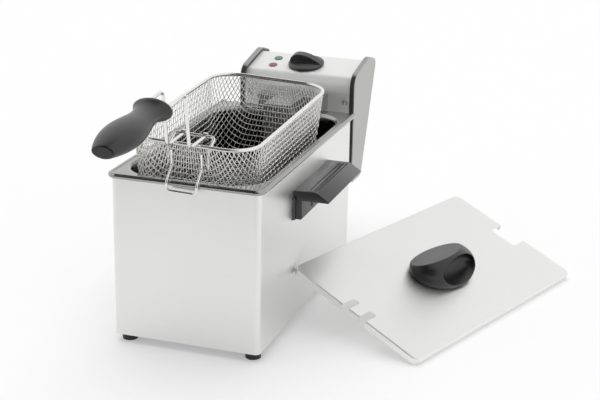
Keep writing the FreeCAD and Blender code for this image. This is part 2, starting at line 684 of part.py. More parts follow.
def make_dial():
    """Dial with its shaft, drawn on the panel's surface and put in place."""
    place = top_frame()
    skirt = cylinder(V(0, 0, DIAL_LIFT), Z_AXIS, DIAL_R, DIAL_EDGE)
    skirt = skirt.fuse(Part.makeCone(DIAL_R, DIAL_CONE_R, DIAL_CONE, V(0, 0, DIAL_LIFT + DIAL_EDGE)))
    low = DIAL_LIFT + DIAL_EDGE / 2
    # Share of the dial's radius along the fin, and of its height
    crest = [(-0.88, 0.26), (-0.84, 0.60), (-0.62, 0.92), (-0.25, 1.0),
             (0.20, 0.86), (0.62, 0.55), (0.93, 0.24)]
    curve = Part.BSplineCurve()
    curve.interpolate([V(x * DIAL_R, -DIAL_FIN_T / 2, z * DIAL_FIN_H) for x, z in crest])
    ends = [curve.toShape().valueAt(p) for p in (curve.FirstParameter, curve.LastParameter)]
    left = V(ends[0].x, ends[0].y, low)
    right = V(ends[1].x, ends[1].y, low)
    base = [Part.makeLine(ends[1], right), Part.makeLine(right, left), Part.makeLine(left, ends[0])]
    fin = Part.Face(Part.Wire([curve.toShape()] + base)).extrude(V(0, DIAL_FIN_T, 0))
    fin = fin.common(cylinder(V(0, 0, 0), Z_AXIS, DIAL_R - DIAL_FIN_IN, DIAL_FIN_H * 2))
    knob = skirt.fuse(fin)
    knob = knob.cut(cylinder(V(0, 0, 0), Z_AXIS, DIAL_RECESS_R, DIAL_RECESS))
    knob = knob.cut(cylinder(V(0, 0, 0), Z_AXIS, SHAFT_R, SHAFT_TOP))
    shaft = cylinder(V(0, 0, -SHAFT_BELOW), Z_AXIS, SHAFT_R, SHAFT_BELOW + SHAFT_TOP)
    export("dial", [moved(knob, place)])
    export("thermostat_shaft", [moved(shaft, place)])

    half_w = THERMOSTAT_W / 2
    half_d = THERMOSTAT_D / 2
    case = box(-half_w, half_w, -half_d, half_d, -SHEET - THERMOSTAT_H, -SHEET)
    case = case.fuse(cylinder(V(0, 0, -SHEET), Z_AXIS, BUSH_R, SHEET + BUSH_TOP))
    bore = cylinder(V(0, 0, -SHAFT_BELOW - SHEET), Z_AXIS, SHAFT_R + RUN_GAP, SHAFT_BELOW + SHAFT_TOP)
    sixth = math.pi / 3
    corners = [V(NUT_R * math.cos(i * sixth), NUT_R * math.sin(i * sixth), 0) for i in range(7)]
    nut = Part.Face(Part.makePolygon(corners)).extrude(V(0, 0, NUT_H))
    nut = nut.cut(cylinder(V(0, 0, 0), Z_AXIS, BUSH_R, NUT_H))
    export("thermostat", [moved(case.cut(bore), place)])
    export("thermostat_nut", [moved(nut, place)])


def make_lamps():
    """Pilot lamps through the top panel."""
    for name, y in (("lamp_green", LAMP_GREEN_Y), ("lamp_red", LAMP_RED_Y)):
        lens = cylinder(V(LAMP_X, y, 0), Z_AXIS, LAMP_R, LAMP_H)
        lens = lens.makeFillet(LAMP_EDGE_R, level_edges(lens, LAMP_H))
        stem = cylinder(V(LAMP_X, y, -LAMP_STEM_L), Z_AXIS, LAMP_STEM_R, LAMP_STEM_L)
        export(name, [moved(lens.fuse(stem), top_frame())])


def make_back_fittings():
    """Cut-out with its button, supply gland and terminal block."""
    place = back_frame(CUTOUT_X, CUTOUT_Z)
    half = CUTOUT_SIDE / 2
    cutout = box(-half, half, -half, half, -SHEET - CUTOUT_DEPTH, -SHEET)
    cutout = cutout.fuse(cylinder(V(0, 0, -SHEET), Z_AXIS, COLLAR_R, SHEET + COLLAR_H))
    depth = BUTTON_IN + BUTTON_TRAVEL + SHEET
    cutout = cutout.cut(cylinder(V(0, 0, -depth), Z_AXIS, BUTTON_R + RUN_GAP, depth + COLLAR_H))
    button = cylinder(V(0, 0, -BUTTON_IN), Z_AXIS, BUTTON_R, BUTTON_IN + BUTTON_OUT)
    button = button.makeFillet(SHEET, level_edges(button, BUTTON_OUT))
    export("thermal_cutout", [moved(cutout, place)])
    export("reset_button", [moved(button, place)])

    place = back_frame(GLAND_X, GLAND_Z)
    gland = cylinder(V(0, 0, -SHEET), Z_AXIS, GLAND_R, SHEET)
    gland = gland.fuse(cylinder(V(0, 0, -SHEET - GLAND_NUT_H), Z_AXIS, GLAND_NUT_R, GLAND_NUT_H))
    gland = gland.fuse(cylinder(V(0, 0, 0), Z_AXIS, GLAND_NUT_R, GLAND_NUT_H))
    gland = gland.fuse(Part.makeCone(GLAND_R, GLAND_TIP_R, GLAND_DOME_H, V(0, 0, GLAND_NUT_H)))
    export("cable_gland", [moved(gland, place)])

    floor = HEAD_BOTTOM + PANEL_INSET + SHEET
    y0 = HEAD_FRONT + TERMINAL_BACK
    block = box(-TERMINAL_W / 2, TERMINAL_W / 2, y0, y0 + TERMINAL_D, floor, floor + TERMINAL_H)
    pitch = TERMINAL_W / TERMINAL_POLES
    for i in range(TERMINAL_POLES):
        x = pitch * (i - (TERMINAL_POLES - 1) / 2)
        hole = V(x, y0 + TERMINAL_D / 2, floor + TERMINAL_H / 2)
        block = block.cut(cylinder(hole, Z_AXIS, TERMINAL_HOLE_R, TERMINAL_H))
    export("terminal_block", [block])


def make_carrier():
    """Bent steel carrier: box before the head, channel over the rear rim and guard in the tank."""
    half = CARRIER_W / 2
    box_half = CARRIER_BOX_W / 2
    front = OPENING_BACK - CARRIER_IN
    box_front = PANEL_FRONT - CARRIER_BOX_D
    box_low = CARRIER_TOP - CARRIER_BOX_H
    t = CARRIER_T
    channel = box(-half, half, front, box_front + t, CARRIER_FOOT, CARRIER_TOP)
    channel = channel.fuse(box(-box_half, box_half, box_front, PANEL_FRONT, box_low, CARRIER_TOP))
    rear = OPENING_BACK - CARRIER_CLEAR
    channel = channel.cut(box(-half, half, rear, box_front, 0, FLANGE_TOP + REST_GAP))
    channel = channel.cut(box(-half, half, OPENING_BACK, box_front + t, 0, box_low))
    inner = half - t
    channel = channel.cut(box(-inner, inner, front + t, box_front + 2 * t, 0, CARRIER_TOP - t))
    inner = box_half - t
    channel = channel.cut(box(-inner, inner, box_front + t, PANEL_FRONT, 0, CARRIER_TOP - t))
    export("element_carrier", [channel])


def make_heater():
    """Bent tube heater with its nuts, the sensor bulb and the clips."""
    leg_y = OPENING_BACK - TUBE_WALL
    z = TANK_FLOOR + LOOP_RISE
    rear = leg_y - LOOP_BACK
    turn = rear - LOOP_INSET
    front = OPENING_FRONT + LOOP_FRONT
    end_y = PANEL_FRONT + TUBE_BACK
    half = [
        V(TUBE_HALF, end_y, TUBE_Z), V(TUBE_HALF, leg_y, TUBE_Z), V(TUBE_HALF, leg_y, z),
        V(TUBE_HALF, rear, z), V(LOOP_OUTER, rear, z), V(LOOP_OUTER, front, z),
        V(LOOP_INNER, front, z), V(LOOP_INNER, turn, z),
    ]
    path = half + [V(-p.x, p.y, p.z) for p in reversed(half)]
    export("heating_element", [tube(path, TUBE_BEND, TUBE_R)])

    nuts = []
    for x in (-TUBE_HALF, TUBE_HALF):
        base = V(x, PANEL_FRONT + SHEET, TUBE_Z)
        nut = cylinder(base, Y_AXIS, ELEMENT_NUT_R, ELEMENT_NUT_H)
        nuts.append(nut.cut(cylinder(base, Y_AXIS, TUBE_R, ELEMENT_NUT_H)))
    export("element_nuts", nuts)

    top = z + TUBE_R
    bulb_z = top - BULB_R
    bulb_end = turn - BULB_BACK
    bulb = cylinder(V(0, bulb_end - BULB_L, bulb_z), Y_AXIS, BULB_R, BULB_L)
    rise = bulb_z + CAPILLARY_RISE
    capillary = tube([
        V(0, bulb_end, bulb_z), V(0, bulb_end + CAPILLARY_RISE, bulb_z), V(0, turn - CAPILLARY_BEND, rise),
        V(0, leg_y, rise), V(0, leg_y, TUBE_Z), V(0, end_y, TUBE_Z),
    ], CAPILLARY_BEND, CAPILLARY_R)
    export("sensor_bulb", [bulb.fuse(capillary)])
    middle = bulb_end - BULB_L / 2
    reach = LOOP_INNER + TUBE_R
    clips = []
    for y in (middle - CLIP_SPREAD / 2, middle + CLIP_SPREAD / 2):
        clips.append(box(-reach, reach, y - CLIP_L / 2, y + CLIP_L / 2, top, top + CLIP_T))
    export("bulb_clip", clips)


def basket_frame():
    """Placement of the basket: its hook sits on the tank's front bead."""
    turn = FreeCAD.Rotation(X_AXIS, BASKET_TILT).multiply(FreeCAD.Rotation(Y_AXIS, BASKET_ROLL))
    seat = V(0, BASKET_FRONT - HOOK_REACH, -HOOK_DROP)
    return FreeCAD.Placement(V(0, BEAD_FRONT, BEAD_Z) - turn.multVec(seat), turn)


def basket_ring(z, out):
    """The basket's outline at one depth, moved out from the middle of the mesh."""
    shrink = 2 * (out + z * DRAFT)
    return rectangle(BASKET_W + shrink, BASKET_L + shrink, BASKET_CORNER + out + z * DRAFT, z)


def front_wall(z, out):
    """Y of a wire beside the basket's front wall at one depth."""
    return BASKET_FRONT - z * DRAFT - out


def mesh_windows():
    """Blocks that open the basket's walls and floor into a plain grid."""
    end_x = BASKET_W / 2 - BASKET_CORNER
    end_y = BASKET_L / 2 - BASKET_CORNER
    pitch = (2 * end_y + MESH_RIB) / MESH_COLUMNS
    along = [(i * pitch - end_y, (i + 1) * pitch - MESH_RIB - end_y) for i in range(MESH_COLUMNS)]
    # The wide rib between these two carries the welded hook and bracket
    right = [(MESH_RIB / 2, HOOK_HALF - MESH_RIB / 2), (PIVOT_HALF + MESH_RIB / 2, end_x)]
    across = right + [(-b, -a) for a, b in right]
    low = -BASKET_DEPTH - MESH_BITE
    high = -BASKET_DEPTH + MESH_BITE
    blocks = [box(a, b, c, d, low, high) for a, b in across for c, d in along]
    height = (BASKET_DEPTH - BASKET_FLOOR_R - MESH_TOP) / MESH_ROWS
    step = 90 / MESH_CORNERS
    for row in range(MESH_ROWS):
        z1 = -MESH_TOP - row * height
        z0 = z1 - height + MESH_RIB
        blocks += [box(-BASKET_W, BASKET_W, a, b, z0, z1) for a, b in along]
        blocks += [box(a, b, -BASKET_L, BASKET_L, z0, z1) for a, b in across]
        half = (BASKET_CORNER + z0 * DRAFT) * math.sin(math.radians(step / 2)) - MESH_RIB / 2
        for i in range(4 * MESH_CORNERS):
            angle = step * (i + 0.5)
            block = box(0, BASKET_CORNER + MESH_BITE, -half, half, z0, z1)
            block.rotate(V(0, 0, 0), Z_AXIS, angle)
            x = math.copysign(end_x, math.cos(math.radians(angle)))
            y = math.copysign(end_y, math.sin(math.radians(angle)))
            block.translate(V(x, y, 0))
            blocks.append(block)
    return blocks


def make_basket():
    """Mesh, rim wire, hook and hinge bracket."""
    place = basket_frame()
    half_t = MESH_T / 2
    top = -RIM_WIRE_R
    outer = Part.makeLoft([basket_ring(top, half_t), basket_ring(-BASKET_DEPTH, half_t)], True, True)
    outer = outer.makeFillet(BASKET_FLOOR_R, level_edges(outer, -BASKET_DEPTH))
    floor = -BASKET_DEPTH + MESH_T
    inner = Part.makeLoft([basket_ring(0, -half_t), basket_ring(floor, -half_t)], True, True)
    inner = inner.makeFillet(BASKET_FLOOR_R - MESH_T, level_edges(inner, floor))
    mesh = outer.cut(inner).cut(mesh_windows())
    export("basket_mesh", [moved(mesh, place)])

    w = BASKET_W / 2
    length = BASKET_L / 2
    rim = [V(0, -length, 0), V(w, -length, 0), V(w, length, 0), V(-w, length, 0), V(-w, -length, 0)]
    export("basket_rim", [moved(tube(rim, [0] + [BASKET_CORNER] * 4, RIM_WIRE_R, True), place)])

    out = half_t + HOOK_WIRE_R + WELD_GAP
    wrap = RIM_BEAD_R + HOOK_WIRE_R + HOOK_SLACK
    leave_y = front_wall(-HOOK_LEAVE, out)
    seat_y = BASKET_FRONT - HOOK_REACH
    to_y = seat_y - leave_y
    to_z = HOOK_LEAVE - HOOK_DROP
    fall = math.atan2(-to_z, -to_y) - math.asin(wrap / math.hypot(to_y, to_z))
    leg_y = seat_y - wrap
    corner_z = -HOOK_LEAVE - (leave_y - leg_y) * math.tan(fall)
    side = [
        V(HOOK_HALF, front_wall(-HOOK_TOP, out), -HOOK_TOP), V(HOOK_HALF, leave_y, -HOOK_LEAVE),
        V(HOOK_HALF, leg_y, corner_z), V(HOOK_HALF, leg_y, -HOOK_BAR),
    ]
    path = side + [V(-p.x, p.y, p.z) for p in reversed(side)]
    bends = [0, HOOK_BEND, wrap, HOOK_BEND]
    export("basket_hook", [moved(tube(path, bends + bends[::-1], HOOK_WIRE_R), place)])

    out = -(half_t + HANDLE_WIRE_R + WELD_GAP)
    pivot_y = BASKET_FRONT + PIVOT_BACK
    side = [
        V(PIVOT_HALF, front_wall(-BRACKET_FOOT, out), -BRACKET_FOOT),
        V(PIVOT_HALF, front_wall(-BRACKET_TOP, out), -BRACKET_TOP), V(PIVOT_HALF, pivot_y, PIVOT_UP),
    ]
    path = side + [V(-p.x, p.y, p.z) for p in reversed(side)]
    export("handle_bracket", [moved(tube(path, BRACKET_BEND, HANDLE_WIRE_R), place)])


def make_basket_handle():
    """Two bent wires turning on the bracket, and the grip."""
    place = basket_frame()
    pivot_y = BASKET_FRONT + PIVOT_BACK
    grip_y = BASKET_FRONT - GRIP_START
    up_y = BASKET_FRONT - HANDLE_OUT
    tip = V(0, grip_y, GRIP_UP)
    fall = math.asin(GRIP_FALL / GRIP_L)
    along = V(0, -math.cos(fall), -math.sin(fall))
    peak = tip - along * ((GRIP_START - HANDLE_PEAK_OUT) / math.cos(fall))
    wire_end = tip + along * WIRE_IN_GRIP
    wires = []
    for x in (-HANDLE_HALF, HANDLE_HALF):
        side = X_AXIS * x
        path = [V(x, pivot_y - HANDLE_WIRE_R, PIVOT_UP), V(x, up_y, PIVOT_UP), side + peak, side + wire_end]
        wire = tube(path, HANDLE_BEND, HANDLE_WIRE_R)
        eye = V(x - EYE_L / 2, pivot_y, PIVOT_UP)
        wire = wire.fuse(cylinder(eye, X_AXIS, EYE_R, EYE_L))
        wires.append(wire.cut(cylinder(eye, X_AXIS, HANDLE_WIRE_R + RUN_GAP, EYE_L)))
    # Share of the grip's length from the wire end, and of its widest half
    profile = [(0.0, 0.33), (0.03, 0.85), (0.055, 1.0), (0.10, 0.90), (0.16, 0.754),
               (0.28, 0.71), (0.45, 0.88), (0.66, 1.0), (0.85, 0.836), (1.0, 0.535)]
    curve = Part.BSplineCurve()
    curve.interpolate([V(0, -s * GRIP_L, r * GRIP_HALF_W) for s, r in profile])
    side = curve.toShape()
    first = side.valueAt(side.FirstParameter)
    last = side.valueAt(side.LastParameter)
    start = V(0, 0, 0)
    end = V(0, -GRIP_L, 0)
    axis = [Part.makeLine(last, end), Part.makeLine(end, start), Part.makeLine(start, first)]
    grip = Part.Face(Part.Wire([side] + axis)).revolve(start, Y_AXIS, 360)
    # The bores are drawn tall, so that flattening the grip makes them round
    for x in (-HANDLE_HALF, HANDLE_HALF):
        oval = Part.Ellipse(V(x, 0, HANDLE_WIRE_R / GRIP_FLAT), V(x + HANDLE_WIRE_R, 0, 0), V(x, 0, 0))
        grip = grip.cut(Part.Face(Part.Wire(oval.toShape())).extrude(V(0, -WIRE_IN_GRIP, 0)))
    flatten = FreeCAD.Matrix()
    flatten.scale(V(1, 1, GRIP_FLAT))
    grip = grip.transformGeometry(flatten)
    grip.rotate(start, X_AXIS, math.degrees(fall))
    grip.translate(tip)
    export("handle_wires", [moved(w, place) for w in wires])
    export("handle_grip", [moved(grip, place)])


def oval_ball(x, y, z):
    """A ball stretched to three diameters, about the origin."""
    stretch = FreeCAD.Matrix()
    stretch.scale(V(1, y / x, z / x))
    return Part.makeSphere(x / 2).transformGeometry(stretch)


def lid_frame():
    """Placement of the lid: one long edge on the floor, one corner against the housing."""
    turn = FreeCAD.Rotation(Z_AXIS, LID_TURN).multiply(FreeCAD.Rotation(Y_AXIS, LID_LEAN))
    floor_corner = turn.multVec(V(LID_W / 2, -LID_D / 2, -LID_FLANGE))
    round_mid = turn.multVec(V(LID_CORNER - LID_W / 2, LID_CORNER - LID_D / 2, -LID_FLANGE))
    normal = turn.multVec(Z_AXIS)
    nearest = round_mid.x - LID_CORNER * math.sqrt(1 - normal.x ** 2)
    x = HALF_W + LID_TOUCH - nearest
    return FreeCAD.Placement(V(x, -LID_FRONT - floor_corner.y, -floor_corner.z), turn)


def make_lid():
    """Folded lid, moulded knob and the knob's screws."""
    place = lid_frame()
    plate = slab(LID_W, LID_D, LID_CORNER, -LID_FLANGE, 0)
    plate = plate.makeFillet(LID_EDGE_R, level_edges(plate, 0))
    hollow = slab(LID_W - 2 * LID_T, LID_D - 2 * LID_T, LID_CORNER - LID_T, -2 * LID_FLANGE, -LID_T)
    plate = plate.cut(hollow)
    front = -LID_D / 2
    low = -2 * LID_FLANGE
    deep = 3 * LID_FLANGE
    for x in (-HANDLE_HALF, HANDLE_HALF):
        end_y = front + SLOT_DEPTH - SLOT_W / 2
        plate = plate.cut(box(x - SLOT_W / 2, x + SLOT_W / 2, front - LID_T, end_y, low, LID_T))
        plate = plate.cut(cylinder(V(x, end_y, low), Z_AXIS, SLOT_W / 2, deep))
    notch = [V(-NOTCH_W / 2, LID_D, low), V(-NOTCH_W / 2, LID_D / 2 - NOTCH_DEPTH, low),
             V(NOTCH_W / 2, LID_D / 2 - NOTCH_DEPTH, low), V(NOTCH_W / 2, LID_D, low)]
    plate = plate.cut(Part.Face(rounded_wire(notch, [0, NOTCH_R, NOTCH_R, 0], True)).extrude(V(0, 0, deep)))

    middle = V(0, 0, KNOB_MID)
    knob = oval_ball(KNOB_W, KNOB_LEN, 2 * (KNOB_H - KNOB_MID))
    knob.rotate(V(0, 0, 0), Z_AXIS, KNOB_TURN)
    knob.translate(middle)
    knob = knob.common(box(-KNOB_LEN, KNOB_LEN, -KNOB_LEN, KNOB_LEN, 0, KNOB_LEN))
    oval = Part.Ellipse(V(0, 0, 0), POCKET_W / 2, POCKET_H / 2)
    mouth = Part.Face(Part.Wire(oval.toShape())).extrude(V(0, 0, KNOB_W))
    mouth.Placement = FreeCAD.Placement(V(POCKET_OUT, 0, 0), FreeCAD.Rotation(Y_AXIS, Z_AXIS, X_AXIS))
    dome = oval_ball(2 * POCKET_DOME, POCKET_W, POCKET_H)
    dome.translate(V(POCKET_OUT, 0, 0))
    for pocket in (mouth, dome):
        pocket.rotate(V(0, 0, 0), Z_AXIS, POCKET_TURN)
        pocket.translate(V(0, 0, POCKET_UP))
        knob = knob.cut(pocket)
    tilt = math.radians(FACET_TILT)
    turn = math.radians(FACET_TURN)
    up = V(math.sin(tilt) * math.cos(turn), math.sin(tilt) * math.sin(turn), math.cos(tilt))
    knob = knob.cut(cylinder(middle + up * FACET_OUT, up, KNOB_LEN, KNOB_LEN))
    knob.translate(V(KNOB_X, KNOB_Y, 0))
    screws = []
    for y in (KNOB_Y - KNOB_SCREW_HALF, KNOB_Y + KNOB_SCREW_HALF):
        seat = V(KNOB_X, y, -LID_T)
        plate = plate.cut(drill(seat, Z_AXIS, SCREW_R + SLIP_GAP))
        knob = knob.cut(cylinder(seat, Z_AXIS, SCREW_R, KNOB_SCREW_L))
        screws.append(screw(seat, Z_AXIS, SCREW_R, KNOB_SCREW_L, SCREW_HEAD_R, SCREW_HEAD_H))
    export("lid_plate", [moved(plate, place)])
    export("lid_knob", [moved(knob, place)])
    export("lid_knob_screws", [moved(s, place) for s in screws])


os.makedirs("parts", exist_ok=True)
make_housing()
make_side_handles()
make_standoff()
make_tank()
make_head_case()
make_dial()
make_lamps()
make_back_fittings()
make_carrier()
make_heater()
make_basket()
make_basket_handle()
make_lid()
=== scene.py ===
"""Looks of a counter-top deep fryer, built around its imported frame.

The frame gives every piece its place. This script dresses the sheet metal, wire and mouldings in
procedural finishes, weaves the basket's wire cloth and softens the moulded pieces.
"""

import json
import logging
import math
from collections.abc import Iterable
from dataclasses import dataclass, field
from enum import Enum
from typing import Any

import bmesh
import bpy
from mathutils import Euler, Matrix, Vector


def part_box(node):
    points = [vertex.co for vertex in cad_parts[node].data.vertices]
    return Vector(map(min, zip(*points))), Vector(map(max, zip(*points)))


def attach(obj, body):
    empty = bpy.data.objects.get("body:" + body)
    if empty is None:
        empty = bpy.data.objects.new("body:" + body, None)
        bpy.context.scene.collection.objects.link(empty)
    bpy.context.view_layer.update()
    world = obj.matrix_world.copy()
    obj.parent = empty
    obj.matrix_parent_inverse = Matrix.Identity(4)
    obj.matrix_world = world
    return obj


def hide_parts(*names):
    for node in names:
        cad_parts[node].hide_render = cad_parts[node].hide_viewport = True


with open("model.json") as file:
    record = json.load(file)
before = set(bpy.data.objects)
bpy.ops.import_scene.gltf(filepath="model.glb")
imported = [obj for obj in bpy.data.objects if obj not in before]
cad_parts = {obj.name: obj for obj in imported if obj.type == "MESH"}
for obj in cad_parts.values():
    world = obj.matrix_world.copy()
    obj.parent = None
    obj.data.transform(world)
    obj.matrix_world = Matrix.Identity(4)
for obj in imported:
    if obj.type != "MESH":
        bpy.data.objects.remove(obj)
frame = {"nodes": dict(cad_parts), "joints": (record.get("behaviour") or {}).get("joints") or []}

LOG = logging.getLogger("fryer")
MM = 0.001
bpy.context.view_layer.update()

Colour = tuple[float, float, float, float]
Triple = tuple[float, float, float]


class Body(Enum):
    """The bodies that new pieces ride on."""

    BASE = "base"
    DIAL = "dial_knob"
    BASKET = "basket"
    HANDLE = "basket_handle"
    LID = "lid"


class Slot(Enum):
    """The record's material slots; the new pieces take their finishes from the shelf, not from
    these.
    """

    BLACK = "black_plastic"
    DIAL = "dial_plastic"
    WIRE = "wire_steel"


class Grain(Enum):
    """Direction of the brushed lines on a level or upright sheet."""

    ACROSS = (1.0, 0.0, 0.0)
    DEPTH = (0.0, 1.0, 0.0)
    UPRIGHT = (0.0, 0.0, 1.0)


class WireRun(Enum):
    """The two directions of a woven cloth's wires."""

    ALONG = "along the basket"
    ACROSS = "across the basket"


def linear(hex_colour: str) -> Colour:
    """Turn an sRGB hex value into linear light.

    Args:
        hex_colour: six hex digits after a hash.

    Returns:
        Red, green, blue and alpha, each from 0 to 1.
    """
    parts = [int(hex_colour[i:i + 2], 16) / 255 for i in (1, 3, 5)]
    light = [p / 12.92 if p <= 0.04045 else ((p + 0.055) / 1.055) ** 2.4 for p in parts]
    return (light[0], light[1], light[2], 1.0)


def dulled(colour: Colour, share: float) -> Colour:
    """A linear colour with only a share of its light."""
    return (colour[0] * share, colour[1] * share, colour[2] * share, 1.0)


def unit(*parts: float) -> Triple:
    """A direction of length one."""
    direction = Vector(parts).normalized()
    return (direction.x, direction.y, direction.z)


def add_node(tree: bpy.types.NodeTree, kind: str, inputs: dict[Any, Any] | None = None,
             **settings: Any) -> bpy.types.Node:
    """Add one shader node with its settings and links.

    Args:
        tree: the node tree it goes into.
        kind: the node's type name.
        inputs: values, or output sockets to link, by input name or number.
        settings: attributes of the node.

    Returns:
        The new node.
    """
    node = tree.nodes.new(kind)
    for key, value in settings.items():
        setattr(node, key, value)
    for key, value in (inputs or {}).items():
        if isinstance(value, bpy.types.NodeSocket):
            tree.links.new(value, node.inputs[key])
        else:
            node.inputs[key].default_value = value
    return node


def new_material(name: str) -> tuple[bpy.types.Material, bpy.types.NodeTree, bpy.types.Node]:
    """Start a material.

    Args:
        name: the material's name.

    Returns:
        The material, its node tree, and its principled shader, which is linked to the output.
    """
    material = bpy.data.materials.new(name)
    material.use_nodes = True
    tree = material.node_tree
    tree.nodes.clear()
    shader = add_node(tree, "ShaderNodeBsdfPrincipled")
    add_node(tree, "ShaderNodeOutputMaterial", {"Surface": shader.outputs["BSDF"]})
    return material, tree, shader


@dataclass(frozen=True)
class BrushedSteel:
    """Stainless sheet, belt-brushed.

    Fine parallel lines spread reflections across the grain, so the sheet looks satin and pale.
    Real lines are about 0.1 mm wide; they are drawn wider, or they would vanish in the render.
    Handling leaves faint clouds that are a little less glossy.
    """

    name: str
    colour: str
    roughness: float
    grain: Triple
    line_mm: float = 0.9
    line_length: float = 90.0  # times the width
    depth_mm: float = 0.012
    depth_share: float = 0.35
    anisotropy: float = 0.55
    line_shade: float = 0.93
    line_roughness: float = 0.05
    cloud_mm: float = 70.0
    cloud_roughness: float = 0.06

    def material(self) -> bpy.types.Material:
        """Build the node material.

        Returns:
            The material.
        """
        material, tree, shader = new_material(self.name)
        place = add_node(tree, "ShaderNodeTexCoord").outputs["Object"]
        along = add_node(tree, "ShaderNodeVectorMath", {0: place, 1: self.grain},
                         operation="DOT_PRODUCT")
        squeeze = add_node(tree, "ShaderNodeMath",
                           {0: along.outputs["Value"], 1: 1 / self.line_length - 1},
                           operation="MULTIPLY")
        shift = add_node(tree, "ShaderNodeVectorMath",
                         {0: self.grain, "Scale": squeeze.outputs[0]}, operation="SCALE")
        spot = add_node(tree, "ShaderNodeVectorMath", {0: place, 1: shift.outputs[0]},
                        operation="ADD")
        lines = add_node(tree, "ShaderNodeTexNoise",
                         {"Vector": spot.outputs[0], "Scale": 1 / (self.line_mm * MM),
                          "Detail": 3.0, "Roughness": 0.65}).outputs["Fac"]
        clouds = add_node(tree, "ShaderNodeTexNoise",
                          {"Vector": place, "Scale": 1 / (self.cloud_mm * MM), "Detail": 2.0})
        pale = linear(self.colour)
        tone = add_node(tree, "ShaderNodeMix",
                        {0: lines, 6: dulled(pale, self.line_shade), 7: pale}, data_type="RGBA")
        tree.links.new(tone.outputs[2], shader.inputs["Base Color"])
        rough = add_node(tree, "ShaderNodeMapRange",
                         {"Value": lines, "From Min": 0.3, "From Max": 0.7,
                          "To Min": self.roughness - self.line_roughness,
                          "To Max": self.roughness + self.line_roughness})
        handled = add_node(tree, "ShaderNodeMath",
                           {0: clouds.outputs["Fac"], 1: self.cloud_roughness, 2: rough.outputs[0]},
                           operation="MULTIPLY_ADD")
        tree.links.new(handled.outputs[0], shader.inputs["Roughness"])
        bump = add_node(tree, "ShaderNodeBump",
                        {"Height": lines, "Strength": self.depth_share,
                         "Distance": self.depth_mm * MM})
        tree.links.new(bump.outputs[0], shader.inputs["Normal"])
        tangent = add_node(tree, "ShaderNodeCombineXYZ", dict(enumerate(self.grain)))
        tree.links.new(tangent.outputs[0], shader.inputs["Tangent"])
        shader.inputs["Metallic"].default_value = 1.0
        shader.inputs["Anisotropic"].default_value = self.anisotropy
        return material


@dataclass(frozen=True)
class DrawnTankSteel:
    """Deep-drawn stainless with a smooth pale flange and rim.

    The tub below the flange is painted dark, as painted shade in the hollow, and made duller.
    """

    name: str
    colour: str
    tub_shade_colour: str
    roughness: float
    tub_top_m: float
    tub_fade_mm: float = 6.0
    tub_roughness: float = 0.2
    mark_mm: float = 9.0
    mark_shade: float = 0.95
    mark_smooth: float = 0.03
    mark_rough: float = 0.05

    def material(self) -> bpy.types.Material:
        """Build the node material.

        Returns:
            The material.
        """
        material, tree, shader = new_material(self.name)
        place = add_node(tree, "ShaderNodeTexCoord").outputs["Object"]
        height = add_node(tree, "ShaderNodeSeparateXYZ", {0: place}).outputs["Z"]
        deep = add_node(tree, "ShaderNodeMapRange",
                        {"Value": height, "From Min": self.tub_top_m - self.tub_fade_mm * MM,
                         "From Max": self.tub_top_m, "To Min": 1.0, "To Max": 0.0},
                        interpolation_type="SMOOTHSTEP").outputs[0]
        marks = add_node(tree, "ShaderNodeTexNoise",
                         {"Vector": place, "Scale": 1 / (self.mark_mm * MM),
                          "Detail": 4.0}).outputs["Fac"]
        steel = linear(self.colour)
        plain = add_node(tree, "ShaderNodeMix",
                         {0: marks, 6: dulled(steel, self.mark_shade), 7: steel},
                         data_type="RGBA")
        # painted shade: the tub below the flange turns dark towards the bottom of the throat
        tone = add_node(tree, "ShaderNodeMix",
                        {0: deep, 6: plain.outputs[2], 7: linear(self.tub_shade_colour)},
                        data_type="RGBA")
        tree.links.new(tone.outputs[2], shader.inputs["Base Color"])
        rough = add_node(tree, "ShaderNodeMapRange",
                         {"Value": marks, "To Min": self.roughness - self.mark_smooth,
                          "To Max": self.roughness + self.mark_rough})
        matt = add_node(tree, "ShaderNodeMath",
                        {0: deep, 1: self.tub_roughness, 2: rough.outputs[0]},
                        operation="MULTIPLY_ADD")
        tree.links.new(matt.outputs[0], shader.inputs["Roughness"])
        shader.inputs["Metallic"].default_value = 1.0
        return material


@dataclass(frozen=True)
class PlatedMetal:
    """Plated or bare metal with faint draw marks: bright and mirror-like where it is smooth."""

    name: str
    colour: str
    roughness: float
    mark_mm: float = 1.5
    mark_shade: float = 0.88
    smoothest: float = 0.75  # of the roughness
    roughest: float = 1.3

    def material(self) -> bpy.types.Material:
        """Build the node material.

        Returns:
            The material.
        """
        material, tree, shader = new_material(self.name)
        place = add_node(tree, "ShaderNodeTexCoord").outputs["Object"]
        marks = add_node(tree, "ShaderNodeTexNoise",
                         {"Vector": place, "Scale": 1 / (self.mark_mm * MM),
                          "Detail": 3.0}).outputs["Fac"]
        bright = linear(self.colour)
        tone = add_node(tree, "ShaderNodeMix",
                        {0: marks, 6: dulled(bright, self.mark_shade), 7: bright},
                        data_type="RGBA")
        tree.links.new(tone.outputs[2], shader.inputs["Base Color"])
        rough = add_node(tree, "ShaderNodeMapRange",
                         {"Value": marks, "To Min": self.roughness * self.smoothest,
                          "To Max": self.roughness * self.roughest})
        tree.links.new(rough.outputs[0], shader.inputs["Roughness"])
        shader.inputs["Metallic"].default_value = 1.0
        return material


